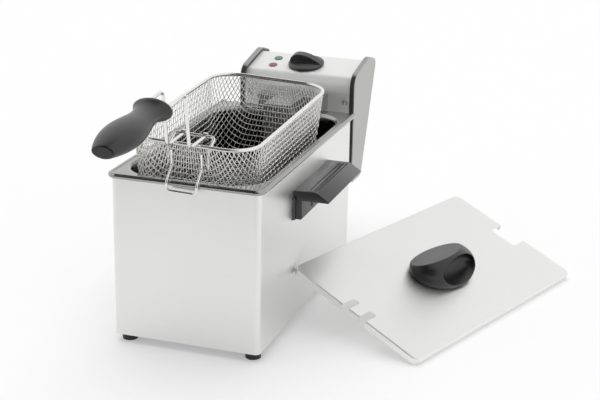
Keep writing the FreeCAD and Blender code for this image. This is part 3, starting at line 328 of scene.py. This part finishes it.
@dataclass(frozen=True)
class MouldedPlastic:
    """Moulded phenolic, nylon or rubber with a fine spark-eroded grain that breaks up highlights.

    Edges that hands rub turn a little paler, and the gloss varies in soft clouds.
    """

    name: str
    colour: str
    worn_colour: str
    roughness: float
    grain_mm: float = 0.7
    grain_depth_mm: float = 0.03
    grain_share: float = 0.5
    edge_from: float = 0.52  # pointiness, 0.5 where the surface is flat
    edge_to: float = 0.62
    edge_wear: float = 0.5
    cloud_mm: float = 25.0
    cloud_wear: float = 0.3
    cloud_roughness: float = 0.06
    ior: float = 1.6

    def material(self) -> bpy.types.Material:
        """Build the node material.

        Returns:
            The material.
        """
        material, tree, shader = new_material(self.name)
        place = add_node(tree, "ShaderNodeTexCoord").outputs["Object"]
        pebbles = add_node(tree, "ShaderNodeTexNoise",
                           {"Vector": place, "Scale": 1 / (self.grain_mm * MM), "Detail": 2.0})
        clouds = add_node(tree, "ShaderNodeTexNoise",
                          {"Vector": place, "Scale": 1 / (self.cloud_mm * MM),
                           "Detail": 3.0}).outputs["Fac"]
        bend = add_node(tree, "ShaderNodeNewGeometry").outputs["Pointiness"]
        edge = add_node(tree, "ShaderNodeMapRange",
                        {"Value": bend, "From Min": self.edge_from, "From Max": self.edge_to,
                         "To Min": 0.0, "To Max": self.edge_wear})
        rub = add_node(tree, "ShaderNodeMath", {0: clouds, 1: self.cloud_wear, 2: edge.outputs[0]},
                       operation="MULTIPLY_ADD")
        tone = add_node(tree, "ShaderNodeMix",
                        {0: rub.outputs[0], 6: linear(self.colour), 7: linear(self.worn_colour)},
                        data_type="RGBA")
        tree.links.new(tone.outputs[2], shader.inputs["Base Color"])
        rough = add_node(tree, "ShaderNodeMapRange",
                         {"Value": clouds, "To Min": self.roughness - self.cloud_roughness,
                          "To Max": self.roughness + self.cloud_roughness})
        tree.links.new(rough.outputs[0], shader.inputs["Roughness"])
        bump = add_node(tree, "ShaderNodeBump",
                        {"Height": pebbles.outputs["Fac"], "Strength": self.grain_share,
                         "Distance": self.grain_depth_mm * MM})
        tree.links.new(bump.outputs[0], shader.inputs["Normal"])
        shader.inputs["IOR"].default_value = self.ior
        return material


@dataclass(frozen=True)
class LampLens:
    """Moulded polycarbonate lens, unlit: deep colour under a glossy skin, with prisms inside."""

    name: str
    colour: str
    deep_colour: str
    prism_mm: float = 1.1
    prism_edge: float = 0.35  # of a prism's width
    roughness: float = 0.18
    ior: float = 1.58
    skin: float = 0.4
    skin_roughness: float = 0.05

    def material(self) -> bpy.types.Material:
        """Build the node material.

        Returns:
            The material.
        """
        material, tree, shader = new_material(self.name)
        place = add_node(tree, "ShaderNodeTexCoord").outputs["Object"]
        prisms = add_node(tree, "ShaderNodeTexVoronoi",
                          {"Vector": place, "Scale": 1 / (self.prism_mm * MM)},
                          feature="DISTANCE_TO_EDGE")
        share = add_node(tree, "ShaderNodeMapRange",
                         {"Value": prisms.outputs["Distance"], "From Max": self.prism_edge})
        tone = add_node(tree, "ShaderNodeMix",
                        {0: share.outputs[0], 6: linear(self.deep_colour), 7: linear(self.colour)},
                        data_type="RGBA")
        tree.links.new(tone.outputs[2], shader.inputs["Base Color"])
        shader.inputs["Roughness"].default_value = self.roughness
        shader.inputs["IOR"].default_value = self.ior
        shader.inputs["Coat Weight"].default_value = self.skin
        shader.inputs["Coat Roughness"].default_value = self.skin_roughness
        return material


Finish = BrushedSteel | DrawnTankSteel | PlatedMetal | MouldedPlastic | LampLens

LID_TURN = math.radians(-19.7)
LID_GRAIN = unit(-math.sin(LID_TURN), math.cos(LID_TURN), 0.0)

# Brushed sheet: the wrap is finest; the cheeks are brushed upright and coloured greyer; the carrier
# is brushed upright and coloured darker grey as painted shade
HOUSING_STEEL = BrushedSteel("stainless_sheet_brushed_level", "#eeeeed", 0.36, Grain.ACROSS.value)
SIDE_STEEL = BrushedSteel("stainless_cheek_brushed_upright", "#b8b8b7", 0.42, Grain.UPRIGHT.value)
HEAD_STEEL = BrushedSteel("stainless_panel_brushed_level", "#f8f8f7", 0.52, Grain.ACROSS.value)
LID_STEEL = BrushedSteel("stainless_lid_brushed_lengthwise", "#f9f9f8", 0.42, LID_GRAIN,
                         depth_mm=0.008)
CARRIER_STEEL_SHADED = BrushedSteel("stainless_carrier_brushed_upright_painted_shade", "#a2a2a0", 0.30,
                             Grain.UPRIGHT.value)
# Rolled and zinc-coated: dull, with faint lines along the rolling
TRAY_STEEL = BrushedSteel("zinc_coated_tray_rolled", "#b4b6b8", 0.45, Grain.DEPTH.value)
# Drawn wire, plated or tinned: bright streaks along the wire, softer on the cloth's thin wires
NICKEL_WIRE = PlatedMetal("nickel_plated_wire_drawn", "#efeeeb", 0.22)
CLOTH_WIRE = PlatedMetal("tinned_wire_cloth_woven", "#fbfaf8", 0.34)
# Turned and plated: small, hard glints
ZINC_SCREWS = PlatedMetal("zinc_plated_steel_turned", "#f2f3f5", 0.2)
# Annealed in the furnace: brown-grey oxide with no clear reflection
HEATER_SHEATH = PlatedMetal("heater_sheath_annealed", "#6e6a66", 0.42, 3.0)
# Drawn and tinned: warm, with soft streaks along the tube
SENSOR_COPPER = PlatedMetal("tinned_copper_tube_drawn", "#c39a7a", 0.30)
# Pressed in polished moulds: black, with a broad sheen where the surface turns to the light
BLACK_PHENOLIC = MouldedPlastic("black_phenolic_moulded", "#121213", "#2c2c2d", 0.25)
GRIP_PHENOLIC = MouldedPlastic("black_phenolic_grip_polished", "#101011", "#2a2a2b", 0.34,
                               0.6, 0.015)
DIAL_PHENOLIC = MouldedPlastic("black_phenolic_dial_polished", "#232324", "#404041", 0.30,
                               0.5, 0.008)
# Moulded or baked with a texture: black that stays dull at every angle
FRAME_NYLON = MouldedPlastic("black_nylon_frame_moulded", "#1b1b1c", "#333334", 0.42)
FOOT_RUBBER = MouldedPlastic("black_rubber_moulded", "#18181a", "#2c2c2e", 0.65)
# Its black on the standoff fills the gap between the housing and the head, where there is only
# shade: painted shade
SHADE_BLACK_POWDER_COAT = MouldedPlastic("black_powder_coat_painted_shade", "#1d1d1e", "#313132", 0.55, 1.2, 0.05)
# Mineral-filled and coloured plastics inside and at the back of the head
CONTROL_THERMOSET = MouldedPlastic("pale_thermoset_moulded", "#bfb9aa", "#d3cdbe", 0.55)
BUTTON_PLASTIC = MouldedPlastic("red_abs_button_moulded", "#8f1d18", "#b23a33", 0.32, 0.5, 0.006)
# Moulded clear and tinted: dark while unlit, under a glossy skin
GREEN_LENS = LampLens("green_polycarbonate_lens", "#2f8f74", "#0f4a3a")
RED_LENS = LampLens("red_polycarbonate_lens", "#a3262b", "#5a1013")


def dress(piece: bpy.types.Object, material: bpy.types.Material) -> None:
    """Give a piece one material in place of what it had."""
    piece.data.materials.clear()
    piece.data.materials.append(material)


def shade_smooth(mesh: bpy.types.Mesh) -> None:
    """Shade every face of a mesh smooth."""
    mesh.polygons.foreach_set("use_smooth", [True] * len(mesh.polygons))


def linked(name: str, mesh: bpy.types.Mesh) -> bpy.types.Object:
    """Put a mesh into the scene as a new object.

    Args:
        name: the object's name.
        mesh: its mesh.

    Returns:
        The object.
    """
    piece = bpy.data.objects.new(name, mesh)
    bpy.context.scene.collection.objects.link(piece)
    return piece


def mesh_object(name: str, points: Iterable[Vector],
                faces: Iterable[tuple[int, ...]]) -> bpy.types.Object:
    """Make a smooth-shaded mesh object in the row frame.

    Args:
        name: the object's name.
        points: corners in metres.
        faces: corner numbers of each face.

    Returns:
        The linked object.
    """
    mesh = bpy.data.meshes.new(name)
    mesh.from_pydata([tuple(p) for p in points], [], list(faces))
    mesh.update()
    shade_smooth(mesh)
    return linked(name, mesh)


def bake_modifiers(piece: bpy.types.Object) -> None:
    """Replace a piece's mesh by what its modifiers make of it, shaded smooth.

    Args:
        piece: an object with modifiers.
    """
    graph = bpy.context.evaluated_depsgraph_get()
    result = bpy.data.meshes.new_from_object(piece.evaluated_get(graph))
    piece.modifiers.clear()
    piece.data = result
    shade_smooth(result)


def copy_of(node: str, name: str, joined_mm: float = 0.002) -> bpy.types.Object:
    """A new piece with a copy of a CAD node's mesh, its split corners joined again.

    Args:
        node: the CAD node.
        name: the new piece's name.
        joined_mm: how close corners are that become one.

    Returns:
        The linked object.
    """
    mesh = bpy.data.meshes.new(name)
    shape = bmesh.new()
    shape.from_mesh(frame["nodes"][node].data)
    bmesh.ops.remove_doubles(shape, verts=shape.verts, dist=joined_mm * MM)
    shape.to_mesh(mesh)
    shape.free()
    return linked(name, mesh)


def softened(node: str, name: str, voxel_mm: float, passes: int) -> bpy.types.Object:
    """A copy of a moulded CAD node with its edges relaxed, as a mould leaves them.

    Args:
        node: the CAD node.
        name: the new piece's name.
        voxel_mm: size of the even faces it is remade with.
        passes: how often the faces are smoothed.

    Returns:
        The linked object.
    """
    piece = copy_of(node, name)
    remesh = piece.modifiers.new("even", "REMESH")
    remesh.mode = "VOXEL"
    remesh.voxel_size = voxel_mm * MM
    relax = piece.modifiers.new("relax", "SMOOTH")
    relax.factor = 0.5
    relax.iterations = passes
    bake_modifiers(piece)
    return piece


def bevelled(node: str, name: str, edge_mm: float, flat_deg: float = 1.0, bevel_deg: float = 35.0,
             sharp_deg: float = 40.0) -> bpy.types.Object:
    """A copy of a CAD node whose sharp edges are rounded.

    Args:
        node: the CAD node.
        name: the new piece's name.
        edge_mm: width of the rounding.
        flat_deg: faces that meet at less than this become one.
        bevel_deg: edges that turn by more than this are rounded.
        sharp_deg: edges that still turn by more than this are shaded sharp.

    Returns:
        The linked object.
    """
    piece = copy_of(node, name)
    shape = bmesh.new()
    shape.from_mesh(piece.data)
    bmesh.ops.dissolve_limit(shape, angle_limit=math.radians(flat_deg), verts=shape.verts,
                             edges=shape.edges)
    shape.to_mesh(piece.data)
    shape.free()
    rounding = piece.modifiers.new("rounding", "BEVEL")
    rounding.width = edge_mm * MM
    rounding.segments = 3
    rounding.limit_method = "ANGLE"
    rounding.angle_limit = math.radians(bevel_deg)
    bake_modifiers(piece)
    piece.data.set_sharp_from_angle(angle=math.radians(sharp_deg))
    return piece


def stand_in(piece: bpy.types.Object, node: str, body: Body,
             material: bpy.types.Material) -> None:
    """Let a piece stand for a CAD node.

    Args:
        piece: the new piece.
        node: the CAD node that it replaces.
        body: the body that it rides on.
        material: its material.
    """
    dress(piece, material)
    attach(piece, body.value)
    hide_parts(node)
    LOG.info("%s stands for %s", piece.name, node)


@dataclass
class MaterialShelf:
    """Keeps one material for each finish."""

    made: dict[str, bpy.types.Material] = field(default_factory=dict)

    def get(self, finish: Finish) -> bpy.types.Material:
        """The material of a finish, built when it is first asked for.

        Args:
            finish: one of the finishes.

        Returns:
            Its material.
        """
        if finish.name not in self.made:
            self.made[finish.name] = finish.material()
        return self.made[finish.name]

    def dress_nodes(self, finishes: dict[str, Finish]) -> None:
        """Give CAD nodes whose shapes are right their finishes.

        Args:
            finishes: the finish of each node.
        """
        for node, finish in finishes.items():
            dress(frame["nodes"][node], self.get(finish))
            LOG.info("%s: %s", node, finish.name)


@dataclass
class Housing:
    """Folded wrap on its tray and feet, with the lifting handles and the channel behind."""

    handle_sides: tuple[str, ...] = ("right", "left")
    handle_edge_mm: float = 0.7
    finishes: dict[str, Finish] = field(default_factory=lambda: {
        "housing_wrap": HOUSING_STEEL,
        "base_plate": TRAY_STEEL,
        "feet": FOOT_RUBBER,
        "foot_screws": ZINC_SCREWS,
        "handle_screws": ZINC_SCREWS,
        # black standoff in the gap behind the housing: painted shade
        "head_standoff": SHADE_BLACK_POWDER_COAT,
        "standoff_rivets": ZINC_SCREWS,
    })

    def build(self, materials: MaterialShelf) -> None:
        """Dress the sheets and round the handles' edges.

        Args:
            materials: the shelf that finishes come from.
        """
        materials.dress_nodes(self.finishes)
        for side in self.handle_sides:
            node = f"side_handle_{side}"
            handle = bevelled(node, f"lifting_handle_{side}", self.handle_edge_mm)
            stand_in(handle, node, Body.BASE, materials.get(BLACK_PHENOLIC))


@dataclass
class Tank:
    """Oil tank: its finish turns dark below the flange, as painted shade in the hollow."""

    throat_mm: float = 5.0
    colour: str = "#a3a3a2"
    # the tub's dark colour is painted shade in the hollow, not a stain
    tub_shade_colour: str = "#2c2b2a"
    roughness: float = 0.14

    def build(self, materials: MaterialShelf) -> None:
        """Dress the tank.

        Args:
            materials: the shelf that finishes come from.
        """
        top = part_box("oil_tank")[1].z - self.throat_mm * MM
        finish = DrawnTankSteel("stainless_tank_drawn", self.colour, self.tub_shade_colour,
                                self.roughness, top)
        materials.dress_nodes({"oil_tank": finish})


@dataclass
class ControlHead:
    """Head with its panels, dial, lamps and switches, and the heater that hangs from it."""

    dial_voxel_mm: float = 0.5
    dial_passes: int = 5
    finishes: dict[str, Finish] = field(default_factory=lambda: {
        "head_panel": HEAD_STEEL,
        "head_back_cover": HEAD_STEEL,
        "side_cover_right": SIDE_STEEL,
        "side_cover_left": SIDE_STEEL,
        "end_frame_right": FRAME_NYLON,
        "end_frame_left": FRAME_NYLON,
        "panel_screws": ZINC_SCREWS,
        "thermostat": CONTROL_THERMOSET,
        "thermostat_nut": ZINC_SCREWS,
        "thermostat_shaft": ZINC_SCREWS,
        "lamp_green": GREEN_LENS,
        "lamp_red": RED_LENS,
        "thermal_cutout": CONTROL_THERMOSET,
        "reset_button": BUTTON_PLASTIC,
        "terminal_block": CONTROL_THERMOSET,
        "cable_gland": FRAME_NYLON,
        # the carrier and its clip take a darker grey: painted shade
        "element_carrier": CARRIER_STEEL_SHADED,
        "bulb_clip": CARRIER_STEEL_SHADED,
        "heating_element": HEATER_SHEATH,
        "element_nuts": ZINC_SCREWS,
        "sensor_bulb": SENSOR_COPPER,
    })

    def build(self, materials: MaterialShelf) -> None:
        """Dress the pieces and soften the dial.

        Args:
            materials: the shelf that finishes come from.
        """
        materials.dress_nodes(self.finishes)
        dial = softened("dial", "dial_knob", self.dial_voxel_mm, self.dial_passes)
        stand_in(dial, "dial", Body.DIAL, materials.get(DIAL_PHENOLIC))


@dataclass
class Basket:
    """Wire basket: its rim, hook and bracket, and the woven cloth that stands for its solid grid.

    The cloth is a flat square weave drawn into the basket. Its wires stay square on the floor, wrap
    round the corners, and crowd and lean towards the middles of the end walls. Sizes are in
    millimetres about the middle of the rim wire; the handle's hinge gives the place.
    """

    width: float = 150.0
    length: float = 282.0
    corner: float = 34.0
    depth: float = 108.0
    draft_deg: float = 5.0
    floor_r: float = 14.0
    tilt_deg: float = 2.0
    roll_deg: float = 2.2
    pivot_back: float = 22.0
    pivot_up: float = 4.6
    rim_wire_r: float = 2.2
    pitch: float = 7.0
    wire_r: float = 0.55
    wire_sides: int = 6
    first_side: Triple = (0.36, 0.48, 0.8)  # no wire starts along it
    crowd_power: float = 1.6
    finishes: dict[str, Finish] = field(default_factory=lambda: {
        "basket_rim": NICKEL_WIRE,
        "basket_hook": NICKEL_WIRE,
        "handle_bracket": NICKEL_WIRE,
    })
    points: list[Vector] = field(default_factory=list, init=False)
    faces: list[tuple[int, ...]] = field(default_factory=list, init=False)
    half_x: float = field(init=False)
    half_y: float = field(init=False)
    straight: float = field(init=False)
    run: float = field(init=False)
    floor_corner: float = field(init=False)

    def __post_init__(self) -> None:
        """Work out the sizes that follow from the others."""
        draft = math.radians(self.draft_deg)
        bend = math.pi / 2 - draft
        self.half_x = self.width / 2 - self.corner
        self.half_y = self.length / 2 - self.corner
        self.straight = self.depth / math.cos(draft) - self.floor_r * math.tan(bend / 2)
        self.run = self.straight + self.floor_r * bend
        self.floor_corner = self.corner - self.profile(0.0)[0]

    def place(self) -> Matrix:
        """The basket's frame, hung from its handle's hinge.

        Returns:
            The frame in millimetres.
        """
        turn = Euler((math.radians(self.tilt_deg), 0, 0)).to_matrix()
        turn = turn @ Euler((0, math.radians(self.roll_deg), 0)).to_matrix()
        hinge = next(j for j in frame["joints"] if j["name"] == "basket_handle_fold")
        pivot = turn @ Vector((0, self.pivot_back - self.length / 2, self.pivot_up))
        return Matrix.Translation(Vector(hinge["pos_m"]) / MM - pivot) @ turn.to_4x4()

    def profile(self, climb: float) -> Triple:
        """The wall's section, from the floor's edge round and up to the rim.

        Args:
            climb: length along the wall from the floor's edge.

        Returns:
            How far in from the rim, the height, and the angle of the outward direction above level.
        """
        draft = math.radians(self.draft_deg)
        down = self.run - climb
        if down <= self.straight:
            return down * math.sin(draft), -down * math.cos(draft), -draft
        turned = (down - self.straight) / self.floor_r
        inset = self.straight * math.sin(draft)
        inset += self.floor_r * (math.cos(draft) - math.cos(draft + turned))
        height = -self.straight * math.cos(draft)
        height -= self.floor_r * (math.sin(draft + turned) - math.sin(draft))
        return inset, height, -(draft + turned)

    def crowded(self, along: float, flat_corner: float, wall_corner: float) -> float:
        """Where a place round a quarter of the flat cloth comes to lie on the wall.

        Args:
            along: length from the middle of the side wall round the flat cloth.
            flat_corner: radius of the flat cloth's corner there.
            wall_corner: radius of the wall's corner there.

        Returns:
            Length from the middle of the side wall round the wall.
        """
        whole = self.half_y + self.half_x + math.pi / 2 * flat_corner
        spare = math.pi / 2 * (flat_corner - wall_corner)
        return along - spare * (along / whole) ** self.crowd_power

    def cloth_point(self, u: float, v: float, lift: float) -> Vector:
        """Where a point of the flat cloth comes to lie in the basket.

        Args:
            u: place across the flat cloth.
            v: place along it.
            lift: height of the wire out of the cloth.

        Returns:
            The point in the basket's own frame.
        """
        over_u, over_v = abs(u) - self.half_x, abs(v) - self.half_y
        if over_u > 0 and over_v > 0:
            climb = math.hypot(over_u, over_v) - self.floor_corner
        else:
            climb = max(over_u, over_v) - self.floor_corner
        if climb <= 0:
            return Vector((u, v, -self.depth - lift))
        inset, height, slope = self.profile(climb)
        flat_corner, wall_corner = self.floor_corner + climb, self.corner - inset
        if over_v <= 0:
            along = abs(v)
        elif over_u <= 0:
            along = self.half_y + math.pi / 2 * flat_corner - over_u
        else:
            along = self.half_y + math.atan2(over_v, over_u) * flat_corner
        along = self.crowded(along, flat_corner, wall_corner)
        reach = wall_corner + lift * math.cos(slope)
        angle = min(max((along - self.half_y) / wall_corner, 0.0), math.pi / 2)
        past = max(0.0, along - self.half_y - math.pi / 2 * wall_corner)
        x = self.half_x + reach * math.cos(angle) - past
        y = min(along, self.half_y) + reach * math.sin(angle)
        return Vector((math.copysign(x, u), math.copysign(y, v), height + lift * math.sin(slope)))

    def add_wire(self, path: list[Vector]) -> None:
        """Add a round wire along a path.

        Args:
            path: points of the wire's middle.
        """
        last = len(path) - 1
        base = len(self.points)
        side = Vector(self.first_side)
        for i, point in enumerate(path):
            ahead = (path[min(i + 1, last)] - path[max(i - 1, 0)]).normalized()
            side = (side - ahead * ahead.dot(side)).normalized()
            across = ahead.cross(side)
            for k in range(self.wire_sides):
                angle = 2 * math.pi * k / self.wire_sides
                out = side * math.cos(angle) + across * math.sin(angle)
                self.points.append(point + out * self.wire_r)
        for i in range(last):
            near = base + i * self.wire_sides
            far = near + self.wire_sides
            for k in range(self.wire_sides):
                after = (k + 1) % self.wire_sides
                self.faces.append((near + k, near + after, far + after, far + k))
        end = base + last * self.wire_sides
        self.faces.append(tuple(base + k for k in reversed(range(self.wire_sides))))
        self.faces.append(tuple(end + k for k in range(self.wire_sides)))

    def weave(self, run: WireRun) -> None:
        """Lay the wires of one direction, over and under those of the other.

        Args:
            run: the direction.
        """
        lengthwise = run is WireRun.ALONG
        side, end = (self.half_x, self.half_y) if lengthwise else (self.half_y, self.half_x)
        reach = self.floor_corner + self.run
        count = int((side + reach - self.rim_wire_r) / self.pitch - 0.5)
        for i in range(-count - 1, count + 1):
            at = (i + 0.5) * self.pitch
            over = max(0.0, abs(at) - side)
            limit = end + math.sqrt(reach ** 2 - over ** 2)
            halves = int(2 * limit / self.pitch)
            stops = [(-limit, 0.0)]
            for k in range(-halves, halves + 1):
                crossing = (-1) ** (i + (k - 1) // 2) if k % 2 else 0
                lift = crossing * self.wire_r * (1 if lengthwise else -1)
                stops.append((k * self.pitch / 2, lift))
            stops.append((limit, 0.0))
            places = [(at, s, lift) if lengthwise else (s, at, lift) for s, lift in stops]
            self.add_wire([self.cloth_point(*p) for p in places])

    def build(self, materials: MaterialShelf) -> None:
        """Dress the stout wires, weave the cloth and let it stand for the basket's grid.

        Args:
            materials: the shelf that finishes come from.
        """
        materials.dress_nodes(self.finishes)
        for run in WireRun:
            self.weave(run)
        place = self.place()
        cloth = mesh_object("basket_wire_cloth", [(place @ p) * MM for p in self.points],
                            self.faces)
        stand_in(cloth, "basket_mesh", Body.BASKET, materials.get(CLOTH_WIRE))


@dataclass
class BasketHandle:
    """The folding handle: two bent wires and the moulded grip."""

    grip_voxel_mm: float = 0.9
    grip_passes: int = 4
    finishes: dict[str, Finish] = field(default_factory=lambda: {"handle_wires": NICKEL_WIRE})

    def build(self, materials: MaterialShelf) -> None:
        """Dress the wires and soften the grip.

        Args:
            materials: the shelf that finishes come from.
        """
        materials.dress_nodes(self.finishes)
        grip = softened("handle_grip", "basket_grip", self.grip_voxel_mm, self.grip_passes)
        stand_in(grip, "handle_grip", Body.HANDLE, materials.get(GRIP_PHENOLIC))


@dataclass
class Lid:
    """Folded lid with its moulded knob."""

    knob_voxel_mm: float = 0.8
    knob_passes: int = 8
    finishes: dict[str, Finish] = field(default_factory=lambda: {
        "lid_plate": LID_STEEL,
        "lid_knob_screws": ZINC_SCREWS,
    })

    def build(self, materials: MaterialShelf) -> None:
        """Dress the sheet and soften the knob.

        Args:
            materials: the shelf that finishes come from.
        """
        materials.dress_nodes(self.finishes)
        knob = softened("lid_knob", "lid_grip", self.knob_voxel_mm, self.knob_passes)
        stand_in(knob, "lid_knob", Body.LID, materials.get(GRIP_PHENOLIC))


@dataclass
class Studio:
    """Pale floor, soft light and the photograph's camera.

    Dark flags stand for the unlit end of the studio behind the camera. The flag on the floor before
    the object lies on lit floor and paints a dark reflection. Only reflections see them.
    """

    camera_mm: Triple = (595.2, -1554.9, 693.2)
    yaw_deg: float = 18.386
    pitch_deg: float = 18.634
    roll_deg: float = 1.013
    focal_px: float = 1426.4
    image_w: int = 600
    sensor_mm: float = 36.0
    floor_m: float = 40.0
    floor_colour: str = "#fbfbfb"
    floor_glow: float = 0.3
    paint_roughness: float = 0.9
    paint_specular: float = 0.1
    ambient: float = 0.62
    sun_strength: float = 1.35
    sun_angle_deg: float = 70.0
    sun_from_behind_deg: float = 14.0
    sun_from_left_deg: float = 10.0
    flag_colour: str = "#4c4c4c"
    flag_start_m: float = -2.4
    flag_end_m: float = 2.8
    flag_far_m: float = 3.2
    flag_near_m: float = 1.1
    flag_top_m: float = 4.0
    flag_over_m: float = 1.4
    ceiling_right_m: float = 0.3

    def add_camera(self) -> None:
        """A long lens at the photograph's viewing angle, without shift."""
        data = bpy.data.cameras.new("photo_camera")
        data.sensor_width = self.sensor_mm
        data.lens = self.focal_px * self.sensor_mm / self.image_w
        camera = bpy.data.objects.new("photo_camera", data)
        bpy.context.scene.collection.objects.link(camera)
        aim = Euler((math.radians(90 - self.pitch_deg), 0, math.radians(self.yaw_deg))).to_matrix()
        turn = aim @ Matrix.Rotation(math.radians(self.roll_deg), 3, "Z")
        camera.matrix_world = Matrix.Translation(Vector(self.camera_mm) * MM) @ turn.to_4x4()
        bpy.context.scene.camera = camera

    def background_rays(self, tree: bpy.types.NodeTree) -> bpy.types.NodeSocket:
        """Tell the rays that show the background from those that light the object.

        Args:
            tree: the node tree it goes into.

        Returns:
            A socket that is 1 for the camera, for reflections and for what is seen through glass.
        """
        rays = add_node(tree, "ShaderNodeLightPath").outputs
        seen = add_node(tree, "ShaderNodeMath",
                        {0: rays["Is Camera Ray"], 1: rays["Is Glossy Ray"]}, operation="MAXIMUM")
        seen = add_node(tree, "ShaderNodeMath",
                        {0: seen.outputs[0], 1: rays["Is Transmission Ray"]}, operation="MAXIMUM")
        return seen.outputs[0]

    def add_world(self) -> None:
        """Even sky: white where the camera or a reflection sees it, weaker as a light."""
        world = bpy.data.worlds.new("white_studio")
        world.use_nodes = True
        tree = world.node_tree
        tree.nodes.clear()
        white = (1.0, 1.0, 1.0, 1.0)
        fill = add_node(tree, "ShaderNodeBackground", {"Color": white, "Strength": self.ambient})
        seen = add_node(tree, "ShaderNodeBackground", {"Color": white, "Strength": 1.0})
        both = add_node(tree, "ShaderNodeMixShader",
                        {0: self.background_rays(tree), 1: fill.outputs[0], 2: seen.outputs[0]})
        add_node(tree, "ShaderNodeOutputWorld", {"Surface": both.outputs[0]})
        bpy.context.scene.world = world

    def add_plane(self, name: str, size: tuple[float, float], place: Matrix,
                  colour: str) -> bpy.types.Object:
        """A flat stage piece with a matt paint.

        Args:
            name: its name.
            size: width and height in metres.
            place: its frame; it lies in the frame's X and Y.
            colour: sRGB hex value.

        Returns:
            The stage object.
        """
        w, h = size[0] / 2, size[1] / 2
        corners = [place @ Vector(c) for c in ((-w, -h, 0), (w, -h, 0), (w, h, 0), (-w, h, 0))]
        plane = mesh_object(name, corners, [(0, 1, 2, 3)])
        material, _, shader = new_material(name + "_paint")
        shader.inputs["Base Color"].default_value = linear(colour)
        shader.inputs["Roughness"].default_value = self.paint_roughness
        shader.inputs["Specular IOR Level"].default_value = self.paint_specular
        dress(plane, material)
        return plane

    def add_floor(self) -> None:
        """White floor that keeps a pale shadow: matt paint, partly lit where it is seen."""
        floor = self.add_plane("floor", (self.floor_m, self.floor_m), Matrix.Identity(4),
                               self.floor_colour)
        material = floor.data.materials[0]
        material.cycles.emission_sampling = "NONE"
        tree = material.node_tree
        surface = tree.get_output_node("ALL").inputs["Surface"]
        white = add_node(tree, "ShaderNodeEmission", {"Strength": 1.0})
        share = add_node(tree, "ShaderNodeMath",
                         {0: self.background_rays(tree), 1: self.floor_glow}, operation="MULTIPLY")
        both = add_node(tree, "ShaderNodeMixShader",
                        {0: share.outputs[0], 1: surface.links[0].from_socket, 2: white.outputs[0]})
        tree.links.new(both.outputs[0], surface)

    def add_flag(self, name: str, low: Triple, high: Triple) -> None:
        """A dark flag, level or facing along Y, that only reflections see.

        Args:
            name: its name.
            low: its lowest corner in metres.
            high: its highest corner, at the same height if it is level.
        """
        size = Vector(high) - Vector(low)
        place = Matrix.Translation((Vector(high) + Vector(low)) / 2)
        if size.z == 0:
            flag = self.add_plane(name, (size.x, size.y), place, self.flag_colour)
        else:
            place = place @ Matrix.Rotation(math.pi / 2, 4, "X")
            flag = self.add_plane(name, (size.x, size.z), place, self.flag_colour)
        flag.visible_camera = False
        flag.visible_diffuse = False
        flag.visible_shadow = False

    def add_stage(self) -> None:
        """The floor, and the flags behind the camera, above it and on the floor before it."""
        self.add_floor()
        start, end, top = self.flag_start_m, self.flag_end_m, self.flag_top_m
        far, near, above = -self.flag_far_m, -self.flag_near_m, MM
        self.add_flag("dark_end", (start, far, 0.0), (end, far, top))
        self.add_flag("dark_ceiling", (start, far, top),
                      (self.ceiling_right_m, self.flag_over_m, top))
        # a dark sheet on the lit floor, seen only in reflections: a painted dark reflection on the
        # front-facing metal
        self.add_flag("dark_front_painted_reflection", (start, far, above), (end, near, above))

    def add_lights(self) -> None:
        """One broad soft light from above, slightly from the left and behind."""
        data = bpy.data.lights.new("overhead", "SUN")
        data.energy = self.sun_strength
        data.angle = math.radians(self.sun_angle_deg)
        lamp = bpy.data.objects.new("overhead", data)
        lamp.rotation_euler = Euler((math.radians(-self.sun_from_behind_deg),
                                     math.radians(-self.sun_from_left_deg), 0))
        lamp.visible_glossy = False
        bpy.context.scene.collection.objects.link(lamp)

    def build(self) -> None:
        """Set up the camera, the light and the stage."""
        bpy.context.scene.view_settings.view_transform = "Standard"
        self.add_camera()
        self.add_world()
        self.add_stage()
        self.add_lights()


def main() -> None:
    """Build the sub-assemblies in order and report each piece."""
    logging.basicConfig(level=logging.INFO, format="%(name)s: %(message)s")
    materials = MaterialShelf()
    Studio().build()
    for part in (Housing(), Tank(), ControlHead(), Basket(), BasketHandle(), Lid()):
        part.build(materials)


if __name__ == "__main__":
    main()
